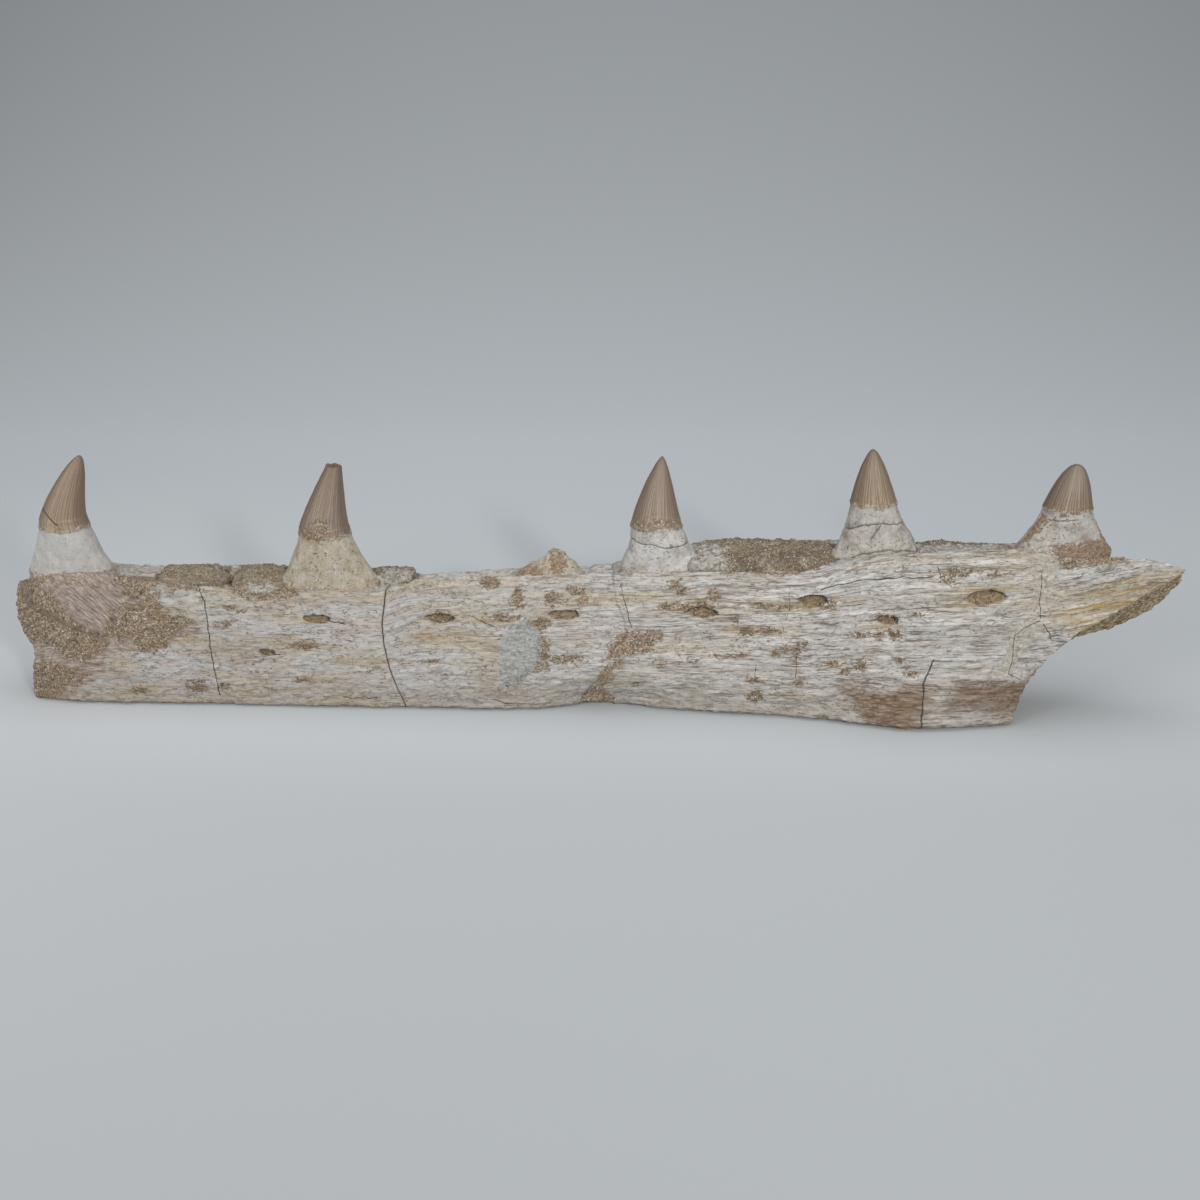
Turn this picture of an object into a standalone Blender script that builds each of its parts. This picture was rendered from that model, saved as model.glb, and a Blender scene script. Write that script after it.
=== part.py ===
"""Fossil mosasaur jaw: a left lower jaw bone with five teeth, standing on its own lower border.

The jaw runs along X with its front end at -X, the outer (lip) face looks towards -Y and the teeth
point up +Z. Design sizes are in millimetres: s is the distance back from the front end, y is
measured from the tooth row's straight line (minus is the lip side) and z is the height above the floor.
"""
import math
from collections import namedtuple

import bpy
import bmesh
from mathutils import Matrix, Vector

MM = 0.001
GAP = 0.3
JAW_LENGTH = 491.0
CUTTER_REACH = 45.0
PAST_END = 40.0

RING_SMOOTHING = 2
LOFT_STEP = 9.0

SOCKET_DEPTH = 11.0
ROOT_SIDES = 22
ROOT_FLARE = 1.35
CROWN_SIDES = 18
CROWN_LEVELS = (0.0, 0.12, 0.27, 0.42, 0.57, 0.71, 0.82, 0.9, 0.96, 0.99)
CROWN_DEPTH_SHARE = 0.88
CARINA = 0.03

# Cross-sections of the bone, front to back. lip and tongue are the heights of the outer and inner
# parapets, bow is how far the section lies off the straight line, outer and inner are the half
# thicknesses, groove is the depth of the long groove low on the inner side, and foot is how far out
# the outer face still touches the floor, as a share of outer.
Section = namedtuple("Section", "s lip tongue bow outer inner groove foot")
SECTIONS = (
    Section(-6, 48, 47, 9.0, 10.5, 9.0, 0.5, 0.85),
    Section(4, 52, 51, 9.0, 13.5, 13.0, 1.5, 0.9),
    Section(22, 57, 56, 8.5, 16.2, 16.0, 2.5, 0.97),
    Section(44, 57.5, 54, 8.0, 16.5, 16.0, 3.0, 1.0),
    Section(60, 54, 53.5, 7.5, 16.5, 16.0, 3.5, 0.99),
    Section(78, 53, 54, 7.0, 16.5, 15.5, 3.5, 0.98),
    Section(105, 50, 54, 6.0, 17.0, 15.5, 4.0, 0.99),
    Section(136, 52, 54, 5.0, 17.5, 16.5, 4.0, 0.98),
    Section(160, 51, 53, 4.0, 17.5, 16.0, 4.5, 0.97),
    Section(174, 57, 51, 3.5, 17.5, 16.0, 4.5, 0.97),
    Section(212, 59, 54, 2.0, 18.0, 16.0, 5.0, 0.94),
    Section(232, 60, 55, 1.3, 18.0, 16.5, 5.5, 0.82),
    Section(250, 61, 56, 0.5, 18.0, 16.5, 5.5, 0.5),
    Section(276, 61, 62, -0.5, 18.5, 17.0, 6.0, 0.74),
    Section(300, 63, 68, -1.5, 18.5, 17.0, 6.0, 0.9),
    Section(335, 64, 69, -3.5, 19.5, 17.0, 7.0, 0.97),
    Section(360, 71, 69.5, -5.5, 22.5, 17.5, 7.5, 1.03),
    Section(376, 74, 69, -6.7, 24.5, 18.0, 8.0, 1.07),
    Section(396, 75, 68.5, -8.0, 24.0, 18.0, 8.0, 1.02),
    Section(418, 75.5, 69, -9.0, 22.0, 17.5, 8.0, 0.96),
    Section(440, 72, 69, -10.0, 19.0, 16.0, 7.0, 0.85),
    Section(462, 71, 66, -10.5, 15.5, 10.5, 4.0, 0.85),
    Section(480, 68.5, 63, -11.0, 11.5, 6.5, 1.5, 0.85),
    Section(500, 61, 56, -11.0, 6.5, 4.0, 0.5, 0.85),
)

# The outline of one cross-section, from the floor up the outer face, over the top and down the inner
# face. across is a share of that side's half thickness, up a share of that side's height. The first
# corners, at the foot, are measured from where the outer face touches the floor.
Corner = namedtuple("Corner", "across up in_groove")
OUTLINE = (
    Corner(0.0, 0.0, 0),
    Corner(-0.11, 0.08, 0),
    Corner(-1.11, 0.28, 0),
    Corner(-1.03, 0.55, 0),
    Corner(-0.9, 0.84, 0),
    Corner(-0.68, 1.0, 0),
    Corner(0.0, 0.97, 0),
    Corner(0.66, 1.0, 0),
    Corner(0.92, 0.86, 0),
    Corner(1.0, 0.62, 0),
    Corner(0.96, 0.43, 0),
    Corner(0.92, 0.33, 1),
    Corner(0.93, 0.23, 0),
    Corner(0.84, 0.08, 0),
    Corner(0.55, 0.0, 0),
)
FOOT_CORNERS = 2
OUTER_CORNERS = 6

# base_* is where the root leaves the bone, neck_* where the enamel starts. taper is how blunt the
# crown is (small is blunt), snapped is the height where the tip has broken off, if it has.
Tooth = namedtuple(
    "Tooth", "name s base_z base_width neck_s neck_z neck_width tip_s tip_z taper snapped")
TEETH = (
    Tooth("tooth_1", 24.3, 56, 36, 24.2, 79.0, 18.6, 35.0, 105.5, 0.56, None),
    Tooth("tooth_2", 135.3, 51, 41, 134.9, 76.0, 20.0, 143.8, 111.0, 0.85, 102.0),
    Tooth("tooth_3", 277.3, 60, 35.5, 274.4, 78.5, 20.8, 276.4, 107.8, 0.72, None),
    Tooth("tooth_4", 366.5, 66, 39, 362.8, 90.5, 18.2, 361.0, 112.2, 0.62, None),
    Tooth("tooth_5", 441.0, 71, 40, 441.0, 89.5, 19.0, 442.4, 107.0, 0.47, None),
)
STUMP = Tooth("tooth_stump", 230.0, 56.5, 29, 233.0, 65.8, 6.5, 233.0, 65.8, 1.0, None)
ROOT_DEPTH_SHARE = 0.7
MOST_ROOT_DEPTH = 20.5

# Sandy rock left in the empty sockets. The top runs from front_z at the lip side to back_z.
Fill = namedtuple("Fill", "name s length near far floor_z front_z back_z")
FILLS = (
    Fill("matrix_fill_1", 76.0, 30.0, -13.0, 12.0, 43.0, 54.5, 56.0),
    Fill("matrix_fill_2", 107.0, 27.0, -13.5, 12.5, 41.0, 51.5, 56.5),
    Fill("matrix_fill_3", 161.0, 19.0, 1.0, 14.0, 44.0, 54.0, 54.0),
    Fill("matrix_fill_4", 321.0, 78.0, -14.0, 14.0, 51.0, 66.0, 71.0),
    Fill("matrix_fill_5", 402.0, 44.0, -10.0, 14.0, 60.0, 71.0, 70.5),
)

# Nerve openings along the outer face: length and height of the slot, and how far it leans.
Foramen = namedtuple("Foramen", "s z length height lean")
FORAMEN_DEPTH = 7.0
FORAMINA = (
    Foramen(132, 40.0, 12.0, 4.0, -4),
    Foramen(110, 25.0, 7.0, 2.8, 0),
    Foramen(184, 41.5, 13.0, 3.6, 0),
    Foramen(236, 44.0, 13.0, 4.2, 4),
    Foramen(293, 46.0, 14.0, 4.2, -2),
    Foramen(338, 52.5, 12.0, 4.8, 8),
    Foramen(367, 47.0, 9.0, 3.6, 5),
    Foramen(406, 57.5, 17.0, 6.0, 4),
)

# The broken front end as seen from the lip side, as (s, z).
FRONT_BREAK = (
    (8, -30), (5, 0), (5, 5), (6, 12.5), (8.5, 19), (8.5, 25), (4.5, 31.5), (3, 38), (3.3, 47.5),
    (5, 53), (6, 57), (12, 90),
)
# The broken rear end slants across the jaw: its (s, z) near the lip side, then near the tongue side.
NEAR_Y = -22.0
FAR_Y = -6.0
REAR_BREAK = (
    ((422.5, -30), (424.5, -30)),
    ((422.5, 2.5), (424.5, 0)),
    ((424, 11), (426, 8)),
    ((426, 19), (427.5, 14.5)),
    ((430.5, 27), (431.5, 21)),
    ((436, 33), (437.5, 25.5)),
    ((446, 41), (455, 29.5)),
    ((456, 46), (469, 34)),
    ((467.5, 52), (482, 40.5)),
    ((480, 60.5), (488.5, 46.5)),
    ((487, 65), (494, 54)),
    ((489.5, 67.5), (494.5, 59)),
    ((484, 130), (488, 130)),
)

# Old breaks where the bone was glued, as (s, z) from the floor up.
CAP_JOINT = (
    (20, -5), (21, 4), (18, 9), (15, 17), (19, 25), (24, 33), (19, 41), (16.5, 48), (15, 70))
FRONT_JOINT = (
    (170, -5), (168, 1), (165, 9), (162, 18.5), (160, 29), (159.5, 38), (161, 48), (163, 70))
REAR_JOINT = (
    (240, -5), (243, 4), (247, 11), (253, 19), (256.5, 29), (262, 35), (261, 42), (258, 49),
    (256.5, 56), (256, 70))
SECTION_NAMES = ("matrix_front_cap", "dentary_front", "dentary_middle", "dentary_rear")

BONE = ("weathered_bone", (0.60, 0.55, 0.49), 0.85)
CEMENTUM = ("root_cementum", (0.62, 0.58, 0.53), 0.8)
ENAMEL = ("tooth_enamel", (0.28, 0.20, 0.14), 0.35)
SANDSTONE = ("sandy_matrix", (0.25, 0.19, 0.13), 0.95)


def clear_scene():
    for obj in list(bpy.data.objects):
        bpy.data.objects.remove(obj)


def new_collection(name):
    collection = bpy.data.collections.new(name)
    bpy.context.scene.collection.children.link(collection)
    return collection


def material_of(finish):
    name, colour, roughness = finish
    material = bpy.data.materials.get(name)
    if material is None:
        material = bpy.data.materials.new(name)
        material.use_nodes = True
        shader = material.node_tree.nodes["Principled BSDF"]
        shader.inputs["Base Color"].default_value = (*colour, 1.0)
        shader.inputs["Roughness"].default_value = roughness
        shader.inputs["Metallic"].default_value = 0.0
    return material


def hermite(before, start, end, after, key, name, t):
    """Smooth value of a field between two table rows, with the slopes that their neighbours give."""
    span = getattr(end, key) - getattr(start, key)

    def slope(low, high):
        width = getattr(high, key) - getattr(low, key)
        return (getattr(high, name) - getattr(low, name)) / width * span if width else 0.0

    a, b = getattr(start, name), getattr(end, name)
    m, n = slope(before, end), slope(start, after)
    return ((2 * t**3 - 3 * t**2 + 1) * a + (t**3 - 2 * t**2 + t) * m
            + (3 * t**2 - 2 * t**3) * b + (t**3 - t**2) * n)


def section_at(s):
    """The bone's cross-section at any distance back from the front end."""
    last = len(SECTIONS) - 2
    i = next((k for k in range(last) if s < SECTIONS[k + 1].s), last)
    start, end = SECTIONS[i], SECTIONS[i + 1]
    before, after = SECTIONS[max(i - 1, 0)], SECTIONS[min(i + 2, last + 1)]
    t = (s - start.s) / (end.s - start.s)
    values = [hermite(before, start, end, after, "s", name, t) for name in Section._fields[1:]]
    return Section(s, *values)


def smoothed(points, steps):
    """A closed ring of points with a Catmull-Rom curve's points added between them."""
    count = len(points)
    ring = []
    for i in range(count):
        a, b, c, d = (points[(i + k) % count] for k in (-1, 0, 1, 2))
        for step in range(steps):
            t = step / steps
            ring.append(0.5 * ((2 * b) + (c - a) * t + (2 * a - 5 * b + 4 * c - d) * t**2
                               + (3 * b - a - 3 * c + d) * t**3))
    return ring


def bone_ring(s):
    """One smooth cross-section of the bone, flat where it stands on the floor."""
    here = section_at(s)
    points = []
    for number, corner in enumerate(OUTLINE):
        outer_side = number < OUTER_CORNERS
        thickness = here.outer if outer_side else here.inner
        height = here.lip if outer_side else here.tongue
        if corner.across == 0 and not number < FOOT_CORNERS:
            height = min(here.lip, here.tongue)
        across = corner.across - here.foot if number < FOOT_CORNERS else corner.across
        y = here.bow + across * thickness - corner.in_groove * here.groove
        points.append(Vector((s, y, corner.up * height)))
    ring = smoothed(points, RING_SMOOTHING)
    return [Vector((p.x, p.y, max(p.z, 0.0))) for p in ring]


def outer_face(s, z):
    """How far towards the lip side the bone's surface lies at a height."""
    side = bone_ring(s)[:OUTER_CORNERS * RING_SMOOTHING - 1]
    for low, high in zip(side, side[1:]):
        if low.z <= z <= high.z and high.z > low.z:
            return low.y + (high.y - low.y) * (z - low.z) / (high.z - low.z)
    return side[-1].y


def loft(name, rings, finish, collection):
    """A closed solid through rings of equal counts, with flat ends. The rings are in millimetres."""
    bm = bmesh.new()
    rows = [[bm.verts.new(p * MM) for p in ring] for ring in rings]
    count = len(rows[0])
    for low, high in zip(rows, rows[1:]):
        for i in range(count):
            bm.faces.new((low[i], low[(i + 1) % count], high[(i + 1) % count], high[i]))
    bm.faces.new(rows[0])
    bm.faces.new(reversed(rows[-1]))
    bmesh.ops.recalc_face_normals(bm, faces=bm.faces)
    mesh = bpy.data.meshes.new(name)
    bm.to_mesh(mesh)
    bm.free()
    mesh.shade_smooth()
    mesh.set_sharp_from_angle(angle=math.radians(40))
    obj = bpy.data.objects.new(name, mesh)
    mesh.materials.append(material_of(finish))
    collection.objects.link(obj)
    return obj


def bake_modifiers(obj):
    graph = bpy.context.evaluated_depsgraph_get()
    mesh = bpy.data.meshes.new_from_object(obj.evaluated_get(graph))
    obj.modifiers.clear()
    obj.data = mesh


def cut(obj, cutters):
    """Takes the cutters out of obj, one after the other, and removes them."""
    for cutter in cutters:
        modifier = obj.modifiers.new("cut", "BOOLEAN")
        modifier.operation = "DIFFERENCE"
        modifier.object = cutter
        bake_modifiers(obj)
        bpy.data.objects.remove(cutter)


def slab(name, near, far, cutters):
    """A cutter through the whole jaw, whose (s, z) outline changes from near to far between two depths."""
    rings = []
    for y, line in ((-CUTTER_REACH, near), (NEAR_Y, near), (FAR_Y, far), (CUTTER_REACH, far)):
        rings.append([Vector((s, y, z)) for s, z in line])
    return as_cutter(loft(name, rings, BONE, cutters), cutters)


def as_cutter(obj, cutters):
    if obj.name not in cutters.objects:
        cutters.objects.link(obj)
    obj.hide_render = True
    obj.display_type = "WIRE"
    return obj


def saw_cut(name, line, cutters):
    """A cutter as thin as the glue in an old break, along a line of (s, z) points."""
    front = [(s - GAP / 2, z) for s, z in line]
    back = [(s + GAP / 2, z) for s, z in reversed(line)]
    return slab(name, front + back, front + back, cutters)


def ellipse_ring(centre, half_long, half_wide, sides, pinch=0.0):
    """A ring in a level plane. pinch draws its front and back ends out into the two cutting edges."""
    ring = []
    for k in range(sides):
        angle = 2 * math.pi * k / sides
        edge = 1 + pinch * (math.cos(angle) ** 8)
        ring.append(centre + Vector((
            half_long * edge * math.cos(angle), half_wide * math.sin(angle), 0)))
    return ring


def root_depth(tooth, z_share):
    """Half thickness of a root across the jaw, at a share of its way up from bone to neck."""
    base = min(tooth.base_width * ROOT_DEPTH_SHARE, MOST_ROOT_DEPTH) / 2
    neck = tooth.neck_width * CROWN_DEPTH_SHARE / 2
    return neck + (base - neck) * (1 - z_share) ** ROOT_FLARE


def root(tooth, collection, grow=0.0):
    """The bony root: a straight plug in its socket, flaring where it leaves the bone, then the neck."""
    rings = []
    bow = section_at(tooth.s).bow
    for z in (tooth.base_z - SOCKET_DEPTH - grow, tooth.base_z - SOCKET_DEPTH * 0.4):
        share = 0.9 if z < tooth.base_z - SOCKET_DEPTH * 0.5 else 0.99
        rings.append(ellipse_ring(
            Vector((tooth.s, bow, z)), tooth.base_width / 2 * share + grow,
            root_depth(tooth, 0) * share + grow, ROOT_SIDES))
    for step in (0.0, 0.14, 0.3, 0.48, 0.68, 0.86, 1.0):
        flare = (1 - step) ** ROOT_FLARE
        half = tooth.neck_width / 2 + (tooth.base_width - tooth.neck_width) / 2 * flare
        centre = Vector((
            tooth.s + (tooth.neck_s - tooth.s) * step, bow,
            tooth.base_z + (tooth.neck_z - tooth.base_z) * step))
        rings.append(ellipse_ring(centre, half + grow, root_depth(tooth, step) + grow, ROOT_SIDES))
    return loft(tooth.name + "_root", rings, CEMENTUM, collection)


def crown(tooth, collection):
    """The enamel crown: it leans and curves back to its tip, or ends where the tip has snapped off."""
    rings = []
    bow = section_at(tooth.s).bow
    height = tooth.tip_z - tooth.neck_z
    root_slope = (tooth.neck_s - tooth.s) / (tooth.neck_z - tooth.base_z)
    for level in CROWN_LEVELS:
        if tooth.snapped and tooth.neck_z + height * level > tooth.snapped:
            break
        size = tooth.neck_width / 2 * (1 - level) ** tooth.taper
        reach = tooth.tip_s - tooth.neck_s
        lean = root_slope * height * level
        s = tooth.neck_s + lean + (reach - root_slope * height) * level**1.25
        centre = Vector((s, bow, tooth.neck_z + GAP + (height - GAP) * level))
        rings.append(ellipse_ring(
            centre, size, size * CROWN_DEPTH_SHARE, CROWN_SIDES, CARINA))
    if tooth.snapped:
        rings[-1] = [Vector((p.x, p.y, p.z + 0.12 * (rings[-1][0].x - p.x))) for p in rings[-1]]
    return loft(tooth.name + "_crown", rings, ENAMEL, collection)


def fill(shape, collection, grow=0.0):
    """A rounded lump of rock between the parapets, from a cube cage with subdivision."""
    middle = section_at(shape.s).bow + (shape.near + shape.far) / 2
    half = Vector((shape.length / 2, (shape.far - shape.near) / 2, 0))
    bm = bmesh.new()
    bmesh.ops.create_cube(bm, size=2)
    bmesh.ops.subdivide_edges(bm, edges=bm.edges, cuts=1, use_grid_fill=True)
    for vertex in bm.verts:
        x, y, z = vertex.co
        top = (shape.front_z + shape.back_z) / 2 + y * (shape.back_z - shape.front_z) / 2 + grow
        bottom = shape.floor_z - grow
        bow = section_at(shape.s + x * half.x).bow - section_at(shape.s).bow
        round_end = 1 - 0.3 * abs(x)
        vertex.co = Vector((
            shape.s + x * (half.x + grow),
            middle + bow + y * (half.y + grow) * round_end,
            (top + bottom) / 2 + z * (top - bottom) / 2)) * MM
    mesh = bpy.data.meshes.new(shape.name)
    bm.to_mesh(mesh)
    bm.free()
    obj = bpy.data.objects.new(shape.name, mesh)
    mesh.materials.append(material_of(SANDSTONE))
    collection.objects.link(obj)
    rounding = obj.modifiers.new("rounding", "SUBSURF")
    rounding.levels = 1
    rounding.render_levels = 1
    bake_modifiers(obj)
    obj.data.shade_smooth()
    return obj


def foramen_cutter(hole, number, cutters):
    """A lens-shaped slot, half sunk in the outer face."""
    bm = bmesh.new()
    bmesh.ops.create_uvsphere(bm, u_segments=12, v_segments=8, radius=0.5)
    place = (Matrix.Translation(Vector((hole.s, outer_face(hole.s, hole.z), hole.z)) * MM)
             @ Matrix.Rotation(math.radians(-hole.lean), 4, "Y")
             @ Matrix.Diagonal((hole.length * MM, FORAMEN_DEPTH * MM, hole.height * MM, 1)))
    bm.transform(place)
    mesh = bpy.data.meshes.new(f"foramen_{number}")
    bm.to_mesh(mesh)
    bm.free()
    return as_cutter(bpy.data.objects.new(mesh.name, mesh), cutters)


def break_cutters(cutters):
    """What is missing past the two broken ends."""
    front = [(-PAST_END, FRONT_BREAK[0][1]), *FRONT_BREAK, (-PAST_END, FRONT_BREAK[-1][1])]
    sides = []
    for side in range(2):
        line = [pair[side] for pair in REAR_BREAK]
        past_rear = JAW_LENGTH + PAST_END
        sides.append([(past_rear, line[0][1]), *line, (past_rear, line[-1][1])])
    return [slab("front_break", front, front, cutters), slab("rear_break", *sides, cutters)]


def loose_parts(obj, names, collection):
    """Splits obj into its separate closed pieces, front to back, under the names given."""
    bm = bmesh.new()
    bm.from_mesh(obj.data)
    islands = []
    left = set(bm.verts)
    while left:
        island, edge_of = set(), [left.pop()]
        while edge_of:
            vertex = edge_of.pop()
            island.add(vertex)
            near = {edge.other_vert(vertex) for edge in vertex.link_edges} & left
            left -= near
            edge_of.extend(near)
        islands.append(island)
    largest = sorted(islands, key=len, reverse=True)[:len(names)]
    largest.sort(key=lambda island: sum(v.co.x for v in island) / len(island))
    for name, island in zip(names, largest):
        keep = {v.index for v in island}
        part = bm.copy()
        part.verts.ensure_lookup_table()
        bmesh.ops.delete(part, geom=[v for v in part.verts if v.index not in keep], context="VERTS")
        mesh = bpy.data.meshes.new(name)
        part.to_mesh(mesh)
        part.free()
        finish = SANDSTONE if name.startswith("matrix") else BONE
        mesh.materials.append(material_of(finish))
        collection.objects.link(bpy.data.objects.new(name, mesh))
    bm.free()
    bpy.data.objects.remove(obj)


def bone(jaw, cutters):
    """The jaw bone: lofted whole, broken at both ends, hollowed for roots and rock, parted at its breaks."""
    steps = round((SECTIONS[-1].s - SECTIONS[0].s) / LOFT_STEP)
    spread = [SECTIONS[0].s + (SECTIONS[-1].s - SECTIONS[0].s) * i / steps for i in range(steps + 1)]
    body = loft("dentary", [bone_ring(s) for s in spread], BONE, jaw)
    cut(body, break_cutters(cutters))
    cut(body, [as_cutter(root(tooth, cutters, GAP), cutters) for tooth in (*TEETH, STUMP)])
    cut(body, [as_cutter(fill(shape, cutters, GAP), cutters) for shape in FILLS])
    cut(body, [foramen_cutter(hole, i, cutters) for i, hole in enumerate(FORAMINA)])
    joints = (("cap_joint", CAP_JOINT), ("front_joint", FRONT_JOINT), ("rear_joint", REAR_JOINT))
    cut(body, [saw_cut(name, line, cutters) for name, line in joints])
    loose_parts(body, SECTION_NAMES, jaw)


def teeth(jaw):
    for tooth in TEETH:
        root(tooth, jaw)
        crown(tooth, jaw)
    root(STUMP, jaw)


def rock(jaw, cutters):
    """The rock fills, cut back from the roots that stand in them."""
    for shape in FILLS:
        lump = fill(shape, jaw)
        reach = shape.length / 2 + MOST_ROOT_DEPTH
        near = [tooth for tooth in (*TEETH, STUMP) if abs(tooth.s - shape.s) < reach]
        cut(lump, [as_cutter(root(tooth, cutters, GAP), cutters) for tooth in near])


def stand_on_origin(jaw):
    """Moves the whole jaw so that the middle of its box stands over the origin."""
    corners = [v.co for obj in jaw.objects for v in obj.data.vertices]
    low = Vector([min(c[axis] for c in corners) for axis in range(3)])
    high = Vector([max(c[axis] for c in corners) for axis in range(3)])
    middle = (low + high) / 2
    for obj in jaw.objects:
        obj.data.transform(Matrix.Translation((-middle.x, -middle.y, -low.z)))
    print("box in mm", [round(v / MM, 1) for v in high - low], "moved by",
          [round(v / MM, 2) for v in (-middle.x, -middle.y, -low.z)])


def main():
    clear_scene()
    jaw = new_collection("mosasaur_jaw")
    cutters = new_collection("cutters")
    bone(jaw, cutters)
    teeth(jaw)
    rock(jaw, cutters)
    bpy.data.collections.remove(cutters)
    stand_on_origin(jaw)


main()
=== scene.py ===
"""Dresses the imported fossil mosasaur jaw: weathered bone, root cementum, tooth enamel and sandy rock.

Shapes are worked out in design millimetres, as in the part's source: s is the distance back from the
front end, y is minus on the lip side and z is the height above the floor.
"""
import math
from collections import namedtuple
from itertools import product

import bmesh
import bpy
import numpy as np
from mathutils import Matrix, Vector
from mathutils.bvhtree import BVHTree


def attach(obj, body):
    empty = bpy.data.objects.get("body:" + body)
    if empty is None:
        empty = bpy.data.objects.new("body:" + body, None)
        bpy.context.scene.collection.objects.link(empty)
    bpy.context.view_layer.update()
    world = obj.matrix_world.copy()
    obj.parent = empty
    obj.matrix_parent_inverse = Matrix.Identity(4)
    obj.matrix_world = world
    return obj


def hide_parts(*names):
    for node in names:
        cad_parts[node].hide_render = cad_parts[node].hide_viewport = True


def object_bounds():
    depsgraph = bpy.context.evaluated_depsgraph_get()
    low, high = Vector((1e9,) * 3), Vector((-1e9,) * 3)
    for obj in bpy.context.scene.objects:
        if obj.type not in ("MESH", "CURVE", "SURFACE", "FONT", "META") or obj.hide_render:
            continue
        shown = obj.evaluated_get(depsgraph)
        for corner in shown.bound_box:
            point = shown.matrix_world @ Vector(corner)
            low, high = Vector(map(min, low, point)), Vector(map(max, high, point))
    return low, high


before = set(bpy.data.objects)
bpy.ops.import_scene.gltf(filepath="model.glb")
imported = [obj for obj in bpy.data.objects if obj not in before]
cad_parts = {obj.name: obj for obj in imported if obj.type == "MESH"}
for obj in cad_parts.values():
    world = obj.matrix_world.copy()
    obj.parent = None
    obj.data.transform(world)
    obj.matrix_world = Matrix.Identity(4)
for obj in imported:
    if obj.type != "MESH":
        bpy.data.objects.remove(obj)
cad_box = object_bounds()

MM = 0.001
S_SHIFT, Y_SHIFT = -248.283, 6.180   # design millimetres to the frame's
SCENE = bpy.context.scene

# The smooth outside of the bone, as in the part's source: s, then what a Section has. lip and tongue
# are the heights of the outer and inner crests, bow is how far the section lies off the straight line,
# outer and inner are the half thicknesses, groove is the depth of the long groove on the inner side,
# and foot is how far out the outer face still touches the floor, as a share of outer.
Section = namedtuple("Section", "lip tongue bow outer inner groove foot")
SECTIONS = np.array((
    (-6, 48, 47, 9.0, 10.5, 9.0, 0.5, 0.85), (4, 52, 51, 9.0, 13.5, 13.0, 1.5, 0.9),
    (22, 57, 56, 8.5, 16.2, 16.0, 2.5, 0.97), (44, 57.5, 54, 8.0, 16.5, 16.0, 3.0, 1.0),
    (60, 54, 53.5, 7.5, 16.5, 16.0, 3.5, 0.99), (78, 53, 54, 7.0, 16.5, 15.5, 3.5, 0.98),
    (105, 50, 54, 6.0, 17.0, 15.5, 4.0, 0.99), (136, 52, 54, 5.0, 17.5, 16.5, 4.0, 0.98),
    (160, 51, 53, 4.0, 17.5, 16.0, 4.5, 0.97), (174, 57, 51, 3.5, 17.5, 16.0, 4.5, 0.97),
    (212, 59, 54, 2.0, 18.0, 16.0, 5.0, 0.94), (232, 60, 55, 1.3, 18.0, 16.5, 5.5, 0.82),
    (250, 61, 56, 0.5, 18.0, 16.5, 5.5, 0.5), (276, 61, 62, -0.5, 18.5, 17.0, 6.0, 0.74),
    (300, 63, 68, -1.5, 18.5, 17.0, 6.0, 0.9), (335, 64, 69, -3.5, 19.5, 17.0, 7.0, 0.97),
    (360, 71, 69.5, -5.5, 22.5, 17.5, 7.5, 1.03), (376, 74, 69, -6.7, 24.5, 18.0, 8.0, 1.07),
    (396, 75, 68.5, -8.0, 24.0, 18.0, 8.0, 1.02), (418, 75.5, 69, -9.0, 22.0, 17.5, 8.0, 0.96),
    (440, 72, 69, -10.0, 19.0, 16.0, 7.0, 0.85), (462, 71, 66, -10.5, 15.5, 10.5, 4.0, 0.85),
    (480, 68.5, 63, -11.0, 11.5, 6.5, 1.5, 0.85), (500, 61, 56, -11.0, 6.5, 4.0, 0.5, 0.85)))
FIRST_S, LAST_S = SECTIONS[0, 0], SECTIONS[-1, 0]
# The outline of one section: across, up, and 1 for the corner in the groove
OUTLINE = (
    (0.0, 0.0, 0), (-0.11, 0.08, 0), (-1.11, 0.28, 0), (-1.03, 0.55, 0), (-0.9, 0.84, 0),
    (-0.68, 1.0, 0), (0.0, 0.97, 0), (0.66, 1.0, 0), (0.92, 0.86, 0), (1.0, 0.62, 0),
    (0.96, 0.43, 0), (0.92, 0.33, 1), (0.93, 0.23, 0), (0.84, 0.08, 0), (0.55, 0.0, 0))
FOOT_CORNERS, OUTER_CORNERS = 2, 6

# Each root at its socket's rim, then at the crown's neck, then the crown's tip. taper is how full the
# crown is, and snapped the height at which it broke.
Tooth = namedtuple("Tooth", "s base_z base_width neck_s neck_z neck_width tip_s tip_z taper snapped")
TEETH = {
    "tooth_1": Tooth(24.3, 56, 36, 24.2, 79.0, 18.6, 35.0, 105.5, 0.56, None),
    "tooth_2": Tooth(135.3, 51, 41, 134.9, 76.0, 20.0, 143.8, 111.0, 0.85, 102.0),
    "tooth_3": Tooth(277.3, 60, 35.5, 274.4, 78.5, 20.8, 276.4, 107.8, 0.72, None),
    "tooth_4": Tooth(366.5, 66, 39, 362.8, 90.5, 18.2, 361.0, 112.2, 0.62, None),
    "tooth_5": Tooth(441.0, 71, 40, 441.0, 89.5, 19.0, 442.4, 107.0, 0.47, None),
    "tooth_stump": Tooth(230.0, 56.5, 29, 233.0, 65.8, 6.5, 233.0, 65.8, 1.0, None),
}
GAP, SOCKET_DEPTH, ROOT_FLARE = 0.3, 11.0, 1.35
CROWN_DEPTH = 0.88   # of its width
CARINA = 0.03   # how far the cutting edges stand out, as a share of the half width
ROOT_DEPTH_SHARE, MOST_ROOT_DEPTH = 0.7, 20.5

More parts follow.
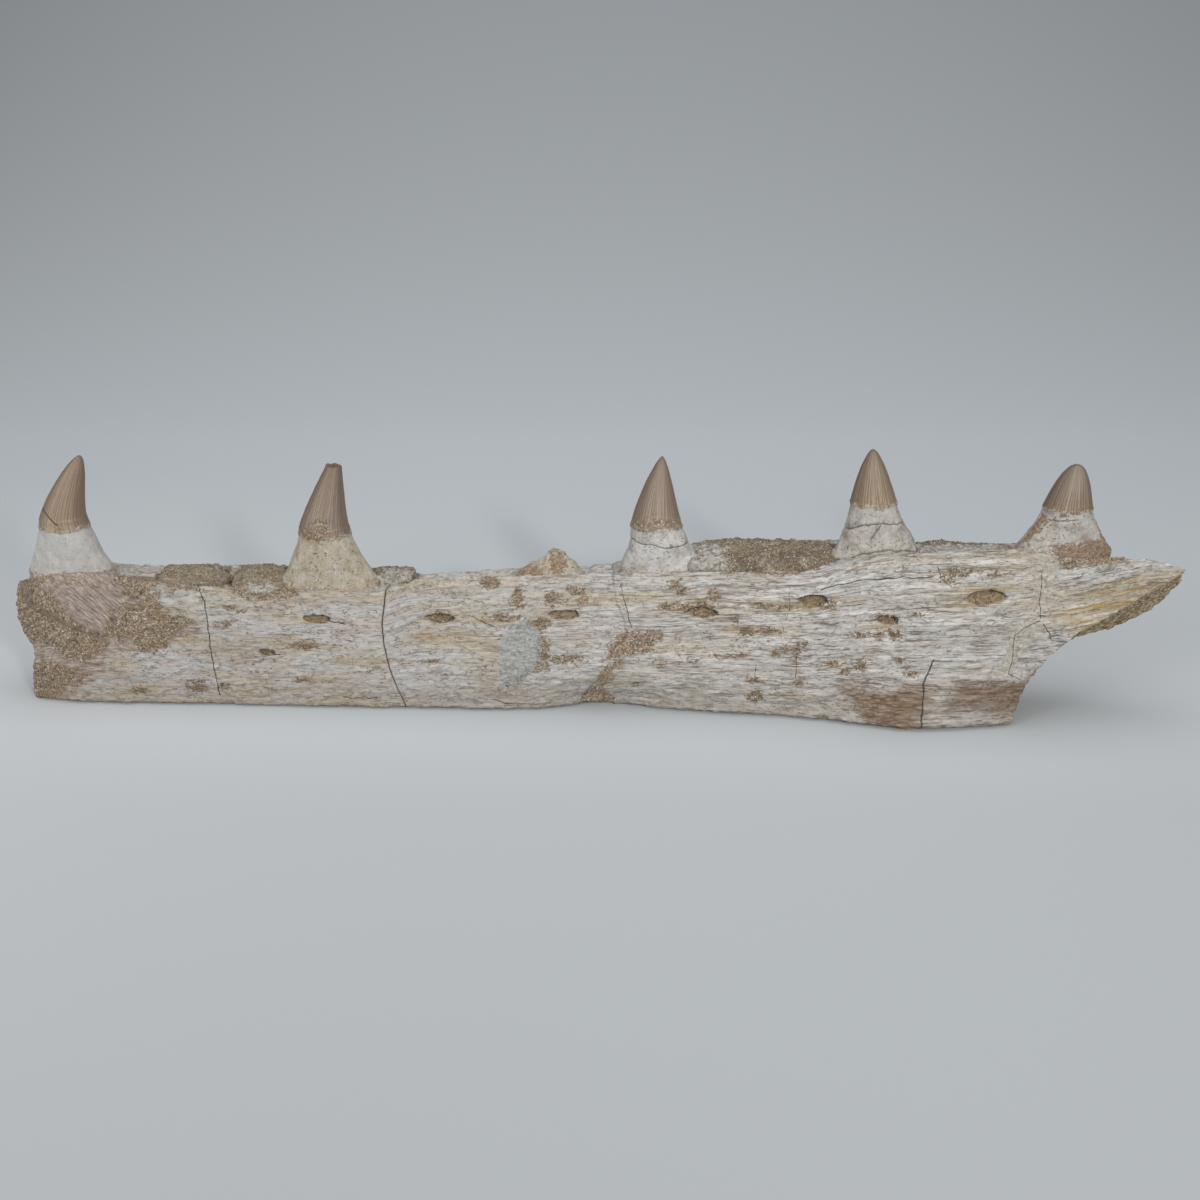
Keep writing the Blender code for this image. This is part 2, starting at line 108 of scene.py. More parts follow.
# Marks on the lip side, as (s, z), each outline with the few points that its shape needs
SAND_PATCHES = (
    ((-4, 60), (18.9, 55.7), (15.0, 53.4), (21.3, 45.3), (26.1, 40.5), (36, 34), (45.2, 31.4),
     (39.2, 24.9), (31.6, 20.2), (23.8, 21.0), (19.9, 26.3), (6, 26.6), (-4, 28)),
    ((42.8, 42.0), (49.9, 44.3), (56.9, 45.6), (62.1, 51.2), (64.6, 50.4), (66.2, 42.6),
     (71.3, 41.3), (80.6, 38.3), (77.8, 36.1), (74.9, 32.5), (68.6, 30.7), (67.4, 27.0),
     (62.0, 25.2), (56.8, 25.6), (52.9, 29.6), (44.9, 28.7), (41.9, 33.1)),
    ((-4, 19), (10.3, 18.1), (20.7, 18.1), (29.3, 15.5), (31.6, 13.6), (28.3, 9.6), (21.9, 9.0),
     (18.1, 4.0), (12.3, 0.9), (-4, -3)),
)
FLAKED = ((-6, 60), (50.3, 60), (50.2, 49.7), (58.6, 49.6), (62.1, 51.2), (66.2, 43.1),
          (80.6, 38.3), (83.6, 32.6), (67.6, 28.9), (67.3, 25.7), (40.4, 23.6), (39.3, 14.7),
          (31.0, 9.7), (17.3, 1.6), (-6, -2))
PUTTY = ((213.8, 38.9), (219, 41.5), (223.5, 39.0), (227.0, 32.0), (225.5, 24.5), (220.5, 16.5),
         (210.6, 9.4), (208.0, 12.3), (208.4, 24.5), (210.2, 33.6))
PUTTY_FRINGE = ((208.0, 9.0), (216.7, 13.4), (222.9, 18.4), (229.5, 20.3), (228.5, 22.6),
                (221.2, 20.0), (215.1, 15.9), (207.4, 11.8))
BREAK_STAIN = (
    ((262.3, 37.2), (276.6, 38.4), (276.7, 34.1), (269.1, 31.1), (264.0, 27.4), (254.7, 26.3),
     (253.8, 30.8)),
    ((260.6, 25.5), (261.5, 22.9), (256.4, 20.0), (255.6, 15.0), (251.8, 9.9), (257.5, 2.5),
     (256, -3), (242, -3), (244.3, 6.3), (249.5, 11.2), (250.8, 19.4), (254.7, 22.7)),
)
LOW_STAINS = (
    ((349.8, 18.4), (384.5, 21.2), (385.8, 6.4), (384, -3), (366, -3), (352.0, 10.2)),
    ((396, 24.9), (430, 25.2), (432, 4.6), (420, 7), (394, 8.2)),
)
FILL_SPILL = ((94, 52), (101.6, 47.6), (113.8, 47.4), (124, 50.0), (124, 58), (94, 58))
CEMENT_SMEARS = (
    ((423.3, 76.8), (433.3, 76.6), (435.5, 69.3), (432.1, 64.8), (431.2, 54.1), (426.1, 54.3),
     (425.3, 66.6), (421.9, 72.8)),
    ((424, 48), (430, 45), (425, 38), (421.5, 30), (417, 24), (411, 25), (415, 33), (417, 41)),
)
RIM_HOLLOWS = ((43, 62), (50.3, 57.9), (54.5, 58.3), (62.2, 59.2), (67, 60), (64.4, 50.2), (57.5, 46.1),
               (52.2, 47.5), (49.3, 51.1), (45.8, 56.1))
TOOTH_5_STAIN = ((435.3, 75.0), (463.7, 75), (464.9, 69.5), (450.9, 68.8), (436.1, 68.6))
TONGUE_TAN = ((436.4, 50), (454.7, 58.0), (472.0, 62.7), (500, 64.9), (500, 50.6), (483.6, 38.9),
              (450, 34.7))

# width in mm, then the line
CRACKS = (
    (0.42, ((81.4, 54), (84.9, 45.7), (85.5, 34.4), (86.2, 21.9), (87.9, 4.8))),
    (0.62, ((386.7, 31.7), (383.2, 22.0), (383.4, 9.4), (383.7, -1))),
    (0.3, ((385.9, 69.9), (387.4, 65.4), (391.5, 62.2))),
    (0.3, ((427.9, 66.5), (427.8, 54.2), (429.3, 47.4), (433.2, 42.1), (434.5, 38.5),
           (442.4, 37.3), (444.6, 33.6), (448.3, 32.0))),
    (0.28, ((429.3, 47.4), (421.9, 44.3), (418.8, 41.0), (418.6, 30.5), (417.8, 25.2),
            (423.4, 22.4))),
    (0.28, ((259.7, 57.3), (260.5, 51.8), (262.2, 46.7), (264.0, 39.0))),
    (0.22, ((328.2, 60), (328.8, 50), (327.5, 44))),
    (0.2, ((325.5, 43), (327, 38))),
    (0.2, ((316, 24), (315, 12), (317, 4))),
    (0.22, ((332.2, 34), (332.6, 18))),
    (0.3, ((196, 43.2), (204, 39.7), (208, 38.0))),
    (0.35, ((141.5, 5.4), (146, 5.0), (150, 5.2), (155.6, 4.8))),
    (0.35, ((341, 57.5), (356, 62.5), (372, 65.0), (384, 65.5))),
    (0.5, ((136.5, 39.6), (139.5, 38.9), (143.5, 38.6))),
    (0.4, ((112, 24.3), (115.5, 24.2))),
    (0.35, ((298, 45.6), (303, 45.4), (308, 45.5))),
    (0.3, ((205, 5.5), (212, 3.6), (221, 3.2), (230, 3.4))),
)
# the two joints in the bone that sand and dirt hide
HIDDEN_JOINTS = (
    ((20, -5), (21, 4), (18, 9), (15, 17), (19, 25), (24, 33), (19, 41), (16.5, 48), (15, 70)),
    ((240, -5), (243, 4), (247, 11), (253, 19), (256.5, 29), (262, 35), (261, 42), (258, 49),
     (256.5, 56), (256, 70)))
# the joint that stays open, a dark line in the photo
OPEN_JOINT = ((170, -5), (168, 1), (165, 9), (162, 18.5), (160, 29), (159.5, 38), (161, 48), (163, 70))
JOINT_SHUT = 0.32   # how far each side of a hidden joint is moved to close it, in mm
# what lies in this band above the floor, in mm, stays below this height, so that the jaw stands flat
FOOT_BAND, FOOT_ROUGHNESS = 0.4, 0.3
# s, z, half length, half height of the nerve openings, which are painted with shade inside and a shadow
# under their upper edge
HOLES = (
    (132, 40.0, 6.0, 2.0), (110, 25.0, 3.5, 1.4), (184, 41.5, 6.5, 1.8), (236, 44.0, 6.5, 2.1),
    (293, 46.0, 7.0, 2.1), (338, 52.5, 6.0, 2.4), (367, 47.0, 4.5, 1.8), (406, 57.5, 8.5, 3.0),
)
# s, z, half length, half height of the small coarse brown blotches
BLOTCHES = (
    (297.4, 53.0, 2.6, 3.2), (281.9, 57.7, 3.9, 1.8), (283.2, 48.5, 6.9, 1.7), (311.5, 38.4, 3.0, 2.0),
    (316.0, 17.5, 3.4, 1.4), (316.0, 10.0, 3.9, 2.8), (293.3, 50.0, 3.4, 2.3), (243.7, 49.8, 3.4, 1.1),
    (242.0, 53.8, 4.3, 1.4), (231.0, 50.5, 3.4, 2.8), (217.4, 50.2, 2.1, 3.7), (205.5, 57.0, 3.4, 2.8),
    (235.9, 25.0, 7.7, 1.7), (276.0, 23.7, 2.1, 0.9), (290.0, 24.9, 1.7, 0.9), (324.0, 30.0, 2.6, 1.8),
    (266.8, 13.8, 1.7, 1.1), (322.8, 38.8, 5.1, 0.9), (339.3, 52.0, 6.7, 2.1), (320.5, 49.5, 7.5, 1.0),
    (366.3, 48.0, 4.2, 1.6), (378.5, 50.3, 1.7, 1.1), (371.0, 41.6, 2.5, 2.5), (356.3, 39.8, 2.1, 1.3),
    (328.2, 31.5, 3.8, 2.0), (335.2, 34.4, 2.9, 1.3), (332.5, 28.5, 1.3, 4.5), (347.0, 26.5, 2.5, 1.1),
    (357.8, 27.4, 2.1, 2.0), (334.3, 16.8, 2.5, 1.8), (306.6, 43.4, 2.5, 1.3), (371.6, 30.6, 1.7, 0.7),
    (378.5, 25.0, 2.1, 1.3), (390.6, 64.0, 2.1, 0.9), (351.1, 23.9, 2.5, 1.1), (363.1, 40.9, 2.1, 0.9),
    (305.3, 27.5, 4.2, 0.9), (227.0, 27.5, 2.6, 6.0), (226.0, 40.5, 4.5, 2.6), (186.0, 42.5, 5.5, 1.6),
    (212.0, 42.5, 6.0, 1.6), (394, 67.5, 6.0, 1.4), (78.0, 8.0, 4.0, 1.6), (79.5, 11.5, 3.0, 0.9),
    (90.0, 9.0, 2.4, 0.9), (52.0, 6.5, 4.0, 1.2), (127, 28, 5.0, 1.2), (124.5, 13, 3.0, 0.9),
    (178, 22.5, 3.0, 0.8), (94.0, 44.0, 3.0, 0.8), (99.5, 43.0, 1.2, 0.6), (92, 37.0, 2.4, 0.9),
    (268, 29.5, 4.0, 1.0), (285, 55.0, 3.0, 2.0), (410, 66.5, 2.5, 0.7),
)
# s, z, half length, half height of the yellow-brown stains that trail off the openings
YELLOW_TRAILS = (
    (123, 39.8, 13, 2.0), (232, 43, 10, 2.6), (329, 50.5, 13, 2.2), (398, 56.0, 12, 3.2),
    (406, 60.8, 14, 2.4), (184, 41, 10, 2.4), (72, 30.5, 12, 1.8), (208, 42, 14, 2.8),
    (283, 46, 12, 2.4), (365, 44, 9, 1.8), (311, 39, 8, 2.2), (255, 50.5, 22, 0.9),
    (272, 52.5, 6, 1.0), (352, 53.5, 8, 1.0), (418, 54.5, 14, 1.0), (190, 33, 18, 3.0),
    (150, 22, 14, 2.0), (104, 51.0, 14, 2.2), (56, 8, 12, 1.6), (118, 9, 16, 1.4),
)

# how far the enamel's foot reaches down over the root, in mm
FOOT_DROP = {"tooth_1": 4.6, "tooth_2": 3.6, "tooth_3": 0.8, "tooth_4": 1.0, "tooth_5": 0.8}
# how rough each root is, where it isn't as rough as most
ROOT_ROUGHNESS = {"tooth_1": 0.35, "tooth_2": 0.6, "tooth_5": 1.2, "tooth_stump": 1.5}
USUAL_ROUGHNESS = 0.9
# sandy dirt that sticks to the teeth
TOOTH_DIRT = (
    ("tooth_2", ((127.5, 75.5), (130.4, 80.3), (134.2, 81.6), (137.9, 81.2), (138.8, 77.3),
                 (136.8, 72.9), (133.3, 70.7), (128.4, 71.6))),
    ("tooth_3", ((264, 81), (269.5, 81.8), (275.6, 83.9), (278.9, 83.1), (283.8, 81.8), (286, 77.9),
                 (277.3, 79.3), (271.5, 78.2), (264, 78.3))),
    ("tooth_5", ((433.0, 75.1), (437.7, 76.4), (452.9, 77.2), (458.8, 72.9), (463, 69),
                 (447.5, 68.9), (434.8, 68.5))),
    ("tooth_5", ((430.2, 87.3), (432.1, 85.1), (428.8, 79.2), (425.2, 74.3), (420.8, 73.3),
                 (425.1, 80.9))),
    ("tooth_5", ((452, 90), (452.7, 83.8), (454.8, 75.2), (461.4, 69.0), (464, 69), (456.5, 78),
                 (455, 90))),
    ("tooth_stump", ((216, 60), (228, 60), (225, 57), (216, 55))),
    ("tooth_stump", ((230, 66), (236, 66), (238, 60), (232, 58.5), (229.5, 61))),
)
# width in mm, then the line
CROWN_CRACKS = (("tooth_1", 0.5, ((14.4, 84.8), (19.9, 82.4), (22.0, 80.2), (24.6, 77.8))),)
ROOT_CRACKS = (
    ("tooth_4", 0.5, ((347.1, 78.2), (352.3, 79.3), (357.8, 82.3), (364.6, 83.2), (374.4, 82.3),
                      (379.9, 76.6))),
    ("tooth_4", 0.55, ((340.2, 62.5), (346.4, 65.3), (358.3, 70.5), (366.7, 72.2), (374.9, 71.8),
                       (388.1, 69.5))),
    ("tooth_4", 0.35, ((360.9, 76.2), (363.1, 79.7), (364.5, 82.2))),
    ("tooth_3", 0.4, ((260.5, 73.9), (271.6, 72.1), (279.0, 71.2), (288.5, 71.2))),
    ("tooth_5", 0.4, ((431.7, 85.1), (439.7, 85.7), (443.0, 86.1))),
    ("tooth_5", 1.3, ((436.5, 87.8), (437.4, 87.7))),
)
# s, y, half length, half width of the pale crust on the rock in three sockets
CRUSTS = {"matrix_fill_2": (107, -8, 9, 6), "matrix_fill_3": (163, 7, 8, 6),
          "matrix_fill_4": (290, -6, 14, 12)}
FAR = 60.0   # mm, stands for a mark that is nowhere near


# Small tools
def random_field(points, seed):
    """A smooth random value from -1 to 1 at each point, about one unit from hill to hill."""
    cell = np.floor(points).astype(np.int64)
    part = points - cell
    ease = part**3 * (part * (part * 6 - 15) + 10)
    total = np.zeros(len(points))
    for corner in product((0, 1), repeat=3):
        at = cell + np.array(corner)
        key = (at[:, 0] * 73856093) ^ (at[:, 1] * 19349663) ^ (at[:, 2] * 83492791) ^ (seed * 9176263)
        key = (key & 0xFFFFFFFF) * 2654435761 & 0xFFFFFFFF
        key = ((key ^ (key >> 15)) * 2246822519) & 0xFFFFFFFF
        value = ((key ^ (key >> 13)) & 0xFFFF) / 32767.5 - 1
        total += value * np.prod(np.where(corner, ease, 1 - ease), axis=1)
    return total


def layered(points, seed, layers=3, roughness=0.5):
    """Smooth random values with finer and finer ones laid over them, each layer weaker."""
    total, size, most = 0, 1.0, 0
    for layer in range(layers):
        total = total + size * random_field(points * 2.03**layer + layer * 17.3, seed + layer)
        most += size
        size *= roughness
    return total / most * 1.6


def ramp(value, low, high):
    """Eases from 0 at low to 1 at high."""
    t = np.clip((value - low) / (high - low), 0, 1)
    return t * t * (3 - 2 * t)


def offset_from(s, z, start, end):
    """How far along s and along z each point lies from a straight stretch."""
    (s0, z0), (s1, z1) = start, end
    ds, dz = s1 - s0, z1 - z0
    t = np.clip(((s - s0) * ds + (z - z0) * dz) / (ds * ds + dz * dz), 0, 1)
    return s - s0 - t * ds, z - z0 - t * dz


def to_line(s, z, line):
    """Distance in mm from each point to a line of (s, z) points."""
    best = np.full(len(s), 1e3)
    for start, end in zip(line, line[1:]):
        best = np.minimum(best, np.hypot(*offset_from(s, z, start, end)))
    return best


def to_cracks(s, z, cracks):
    """Where each point lies from the nearest crack, and how far, in shares of that crack's width.

    The offset passes evenly through nothing across a crack, so it stays exact between two points.
    """
    best = np.full((len(s), 3), 1e3)
    for width, line in cracks:
        for start, end in zip(line, line[1:]):
            away_s, away_z = (along / width for along in offset_from(s, z, start, end))
            far = np.hypot(away_s, away_z)
            nearer = far < best[:, 2]
            best[nearer] = np.stack((away_s, away_z, far), 1)[nearer]
    return best


def crack_dip(crack):
    """1 along the middle of a crack, falling to 0 beside it."""
    return np.exp(-(crack[:, 2] / 0.8) ** 2)


def to_patch(s, z, outline):
    """Distance in mm from each point to the outline of a patch, minus inside it."""
    closed = (*outline, outline[0])
    inside = np.zeros(len(s), bool)
    for (s0, z0), (s1, z1) in zip(closed, closed[1:]):
        if z0 != z1:
            crosses = (z0 > z) != (z1 > z)
            inside ^= crosses & (s < (s1 - s0) * (z - z0) / (z1 - z0) + s0)
    return np.where(inside, -1, 1) * to_line(s, z, closed)


def to_ovals(s, z, ovals):
    """Rough distance in mm to the nearest of many ovals, minus inside one."""
    best = np.full(len(s), 1e3)
    for s0, z0, half_long, half_high in ovals:
        share = np.hypot((s - s0) / half_long, (z - z0) / half_high)
        best = np.minimum(best, (share - 1) * min(half_long, half_high * 1.5))
    return best


def design(points):
    """Points in metres in the frame, as s, y and z in design millimetres."""
    return points / MM - np.array((S_SHIFT, Y_SHIFT, 0))


def framed(points):
    """Design millimetres, as points in metres in the frame."""
    return (np.asarray(points, float) + np.array((S_SHIFT, Y_SHIFT, 0))) * MM


def vertices_of(mesh, key="co"):
    points = np.empty(len(mesh.vertices) * 3)
    mesh.vertices.foreach_get(key, points)
    return points.reshape(-1, 3)


def normals_of(mesh):
    return vertices_of(mesh, "normal")


def set_points(mesh, points):
    mesh.vertices.foreach_set("co", points.ravel())
    mesh.update()


def move_vertices(mesh, points):
    """Moves a mesh's points, and keeps them inside the CAD model's box."""
    low, high = (np.array(corner) for corner in cad_box)
    set_points(mesh, np.clip(points, low, high))


def relaxed(points, edges, rounds, share=0.5):
    """Points pulled towards the middle of their neighbours."""
    count = np.bincount(edges.ravel(), minlength=len(points))[:, None]
    for _ in range(rounds):
        total = np.zeros_like(points)
        for axis in range(3):
            total[:, axis] = (
                np.bincount(edges[:, 0], points[edges[:, 1], axis], len(points))
                + np.bincount(edges[:, 1], points[edges[:, 0], axis], len(points)))
        points = points + share * (total / np.maximum(count, 1) - points)
    return points


def keep(mesh, **kept):
    """Keeps a number or a vector for each point on the mesh, under a name that its material reads."""
    for name, values in kept.items():
        values = np.asarray(values, np.float32)
        kind, key = ("FLOAT_VECTOR", "vector") if values.ndim == 2 else ("FLOAT", "value")
        mesh.attributes.new(name, kind, "POINT").data.foreach_set(key, values.ravel())


def tube_faces(levels, count):
    """The faces of a tube through that many rings of count points each."""
    return [(r * count + i, r * count + (i + 1) % count,
             (r + 1) * count + (i + 1) % count, (r + 1) * count + i)
            for r in range(levels - 1) for i in range(count)]


def new_piece(name, mesh, slot, *nodes):
    piece = bpy.data.objects.new(name, mesh)
    SCENE.collection.objects.link(piece)
    mesh.shade_smooth()
    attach(piece, "root")
    if nodes:
        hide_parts(*nodes)
    return piece


def linear(code, alpha=1.0):
    """A colour given as an sRGB hex value, as Blender's linear numbers."""
    parts = [int(code[i:i + 2], 16) / 255 for i in (1, 3, 5)]
    return (*[p / 12.92 if p <= 0.04045 else ((p + 0.055) / 1.055) ** 2.4 for p in parts], alpha)


def add(tree, kind, links=None, out=0, stops=None, **settings):
    """Adds one node and returns one of its outputs, or the node itself where out is None.

    links gives inputs, by name or number, a value, a hex colour or another node's output. stops are
    the colours of a ramp.
    """
    made = tree.nodes.new(kind)
    for name, value in settings.items():
        setattr(made, name, value)
    for key, value in (links or {}).items():
        if isinstance(value, bpy.types.NodeSocket):
            tree.links.new(value, made.inputs[key])
        else:
            colour = isinstance(value, str) and value.startswith("#")
            made.inputs[key].default_value = linear(value) if colour else value
    if stops:
        elements = made.color_ramp.elements
        while len(elements) < len(stops):
            elements.new(0.5)
        for element, (place, colour) in zip(elements, stops):
            element.position = place
            element.color = linear(colour)
    return made if out is None else made.outputs[out]


# The bone's smooth outside
def section_at(s):
    """The bone's section at a distance back from the front end, eased between those given."""
    i = int(np.clip(np.searchsorted(SECTIONS[:, 0], s, "right") - 1, 0, len(SECTIONS) - 2))
    start, end = SECTIONS[i], SECTIONS[i + 1]
    before, after = SECTIONS[max(i - 1, 0)], SECTIONS[min(i + 2, len(SECTIONS) - 1)]
    span = end[0] - start[0]
    t = (s - start[0]) / span
    m = (end - before)[1:] / (end[0] - before[0]) * span
    n = (after - start)[1:] / (after[0] - start[0]) * span
    return Section(*((2 * t**3 - 3 * t**2 + 1) * start[1:] + (t**3 - 2 * t**2 + t) * m
                     + (3 * t**2 - 2 * t**3) * end[1:] + (t**3 - t**2) * n))


def bone_ring(s, steps=6):
    """The points round the bone at s, on a smooth curve through its outline's corners."""
    lip, tongue, bow, outer, inner, groove, foot = section_at(s)
    corners = []
    for number, (across, up, in_groove) in enumerate(OUTLINE):
        outside = number < OUTER_CORNERS
        height = lip if outside else tongue
        if across == 0 and number >= FOOT_CORNERS:
            height = min(lip, tongue)
        if number < FOOT_CORNERS:
            across = across - foot
        y = bow + across * (outer if outside else inner) - in_groove * groove
        corners.append(np.array((s, y, up * height)))
    ring = []
    for i in range(len(corners)):
        a, b, c, d = (corners[(i + k) % len(corners)] for k in (-1, 0, 1, 2))
        for step in range(steps):
            t = step / steps
            ring.append(0.5 * ((2 * b) + (c - a) * t + (2 * a - 5 * b + 4 * c - d) * t**2
                               + (3 * b - a - 3 * c + d) * t**3))
    ring = np.array(ring)
    ring[:, 2] = np.maximum(ring[:, 2], 0)
    return ring


def smooth_outside():
    """The whole outside of the bone, before it was broken, as a tree to look up near points in."""
    rings = [bone_ring(s) for s in np.linspace(FIRST_S, LAST_S, 254)]
    points = framed(np.concatenate(rings))
    return BVHTree.FromPolygons([Vector(p) for p in points], tube_faces(len(rings), len(rings[0])))


PLACES = np.linspace(FIRST_S, LAST_S, 507)
LIP_AT_PLACES = np.array([section_at(s).lip for s in PLACES])
BOW_AT_PLACES = np.array([section_at(s).bow for s in PLACES])


def fine_copy(node, voxel, squeeze):
    """A node's mesh made again from small even faces, squeeze times longer along the jaw than high."""
    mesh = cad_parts[node].data.copy()
    bm = bmesh.new()
    bm.from_mesh(mesh)
    bmesh.ops.remove_doubles(bm, verts=bm.verts, dist=1e-6)
    for vertex in bm.verts:
        vertex.co.x /= squeeze
    bm.to_mesh(mesh)
    bm.free()
    maker = bpy.data.objects.new(node + "_maker", mesh)
    SCENE.collection.objects.link(maker)
    remesh = maker.modifiers.new("remesh", "REMESH")
    remesh.mode = "VOXEL"
    remesh.voxel_size = voxel * MM
    fine = bpy.data.meshes.new_from_object(maker.evaluated_get(bpy.context.evaluated_depsgraph_get()))
    bpy.data.objects.remove(maker)
    points = vertices_of(fine)
    points[:, 0] *= squeeze
    set_points(fine, points)
    fine.materials.clear()
    return fine


def edges_of(mesh):
    edges = np.empty(len(mesh.edges) * 2, np.int64)
    mesh.edges.foreach_get("vertices", edges)
    return edges.reshape(-1, 2)


def laid_on(tree, points, normals, reach=0.9):
    """Points moved onto the smooth outside where they lie close to it, and how far below it they are."""
    laid, skin, depth = points.copy(), np.zeros(len(points)), np.zeros(len(points))
    for i, (point, normal) in enumerate(zip(points, normals)):
        place, direction, _, distance = tree.find_nearest(Vector(point))
        facing = direction.x * normal[0] + direction.y * normal[1] + direction.z * normal[2]
        distance /= MM
        depth[i] = distance
        if distance < reach and facing > 0.5:
            share = (1 - (distance / reach) ** 4) * min(1.0, (facing - 0.5) / 0.25)
            laid[i] = point + (np.array(place) - point) * share
            skin[i] = share
    return laid, skin, depth


def grain_at(s, y, z, lip):
    """Each point as s, y and the level of the bone's grain at it.

    The grain follows the crest above and the lower border below, and fans up along the rear tongue.
    Under the front tooth the torn fibres run steeply down and back.
    """
    level = z * 62 / lip - 0.17 * np.maximum(s - 418, 0) * ramp(z, 22, 50)
    level += 0.9 * (s - 50) * ramp(s, 56, 40) * ramp(z + 0.45 * (s - 36), 30, 33) * ramp(s, 4, 14)
    return np.stack((s, y, level), 1)


def to_roots(here, lip):
    """Rough distance in mm from each point of the bone to the nearest root."""
    s, y, z = here.T
    best = np.full(len(s), FAR)
    for tooth in TEETH.values():
        half_deep = base_half_depth(tooth)
        middle = section_at(tooth.s).bow
        share = np.hypot((s - tooth.s) / (tooth.base_width / 2), (y - middle) / half_deep)
        best = np.minimum(best, (share - 1) * half_deep + np.maximum(lip - 3 - z, 0) * 1.2)
    return best


def to_rocks(points, near_crest, reach=0.004):
    """Distance in mm from each point near the crest to the rock in the sockets."""
    best = np.full(len(points), FAR)
    for i in np.flatnonzero(near_crest):
        for rock in rock_trees:
            distance = rock.find_nearest(Vector(points[i]), reach)[3]
            if distance is not None:
                best[i] = min(best[i], distance / MM)
    return best


def marks_on_bone(points, grain, lip, away):
    """Distance in mm to each kind of mark on the bone, minus inside it, with ragged edges.

    away is large everywhere but on the lip side, the only side with these marks.
    """
    here = design(points)
    s, y, z = here.T
    ragged = layered(here / (3.2, 2.0, 2.0), 11, 4) * 1.1
    fine_ragged = layered(here / (1.6, 0.9, 0.9), 15, 3) * 0.5
    broad_ragged = 1.8 * layered(here / (8, 5, 5), 17, 3)
    grain_ragged = 4.0 * layered(grain / (14, 5, 5), 19, 3) + 1.5
    wander = layered(here / (2.5, 2.5, 2.5), 21, 3) * 0.35

    def to_patches(*patches):
        return np.min([to_patch(s, z, patch) for patch in patches], 0)

    # the nerve openings get painted shade inside and a painted shadow under their upper edge
    shaded_hole = to_ovals(s, z, HOLES) + away
    stain = to_patches(*BREAK_STAIN, PUTTY_FRINGE, FILL_SPILL, TOOTH_5_STAIN) + ragged + away
    rock_dirt = to_rocks(points, z > lip - 9) - 0.7 + ragged * 1.1
    rim_dirt = to_patch(s, z, RIM_HOLLOWS) + away + 0.8 + ragged * 1.2
    return {
        "crack": to_cracks(s + wander * 0.6, z + wander, CRACKS) + away[:, None],
        "shaded_hole": shaded_hole,
        "hole_rim_shadow": np.maximum(shaded_hole, -to_ovals(s + 0.8, z + 1.1, HOLES)),
        "sand": to_patches(*SAND_PATCHES) + ragged * 1.5 + away + broad_ragged,
        "flaked": to_patch(s, z, FLAKED) + ragged * 0.5 + away,
        "putty": to_patch(s, z, PUTTY) + ragged * 0.5 + away,
        "stain": np.minimum(stain, np.minimum(rock_dirt, rim_dirt)),
        "low_stain": to_patches(*LOW_STAINS) + away + grain_ragged,
        "tongue": to_patch(s, z, TONGUE_TAN) + away,
        "blotch": to_ovals(s, z, BLOTCHES) + ragged * 1.2 + fine_ragged + away,
        "yellow": to_ovals(s, z, YELLOW_TRAILS) + ragged * 0.8 + away,
        "near_root": np.minimum(to_roots(here, lip) + ragged, to_patches(*CEMENT_SMEARS) + ragged + away),
    }


def bone_relief(here, grain, rear, marks):
    """How far the bone's weathered surface stands above its plain one, in mm."""
    # broad swells, then the long grain, short and fine at the front and long and coarse at the rear
    lift = 0.45 * layered(here / (26, 16, 16), 31, 2)
    lift += 0.05 * (1 - rear) * layered(grain / (16, 1.0, 1.0), 35, 3, 0.6)
    lift += 0.07 * rear * layered(grain / (40, 6.0, 1.2), 37, 2)
    lift += 0.03 * (1 - rear) * random_field(grain / (4, 0.75, 0.75), 39)
    # slits along the grain, and pits
    lift -= 0.10 * (1 - rear) * ramp(random_field(grain / (4.5, 1.0, 1.0), 43), 0.42, 0.8)
    lift -= 0.14 * rear * ramp(random_field(grain / (30, 5.0, 0.9), 45), 0.35, 0.8)
    lift -= 0.2 * ramp(random_field(here / (1.8, 1.3, 1.3), 47), 0.6, 0.85)
    # flaked places lie low, sand and dirt are rough, the filler stands proud and the cracks are cut in
    lift -= 0.7 * ramp(-marks["flaked"], -0.25, 0.25)
    rough = layered(here / 1.5, 51, 3, 0.7)
    lift += 0.4 * ramp(-marks["sand"], -0.4, 0.6) * rough
    lift -= ramp(-marks["blotch"], -0.3, 0.5) * (0.25 - 0.25 * rough)
    lift -= ramp(-marks["stain"], -0.3, 0.5) * (0.25 - 0.3 * rough)
    lift += ramp(-marks["putty"], -0.4, 0.4) * (0.25 + 0.12 * layered(here / 2.2, 55, 2))
    return lift - 0.5 * crack_dip(marks["crack"])


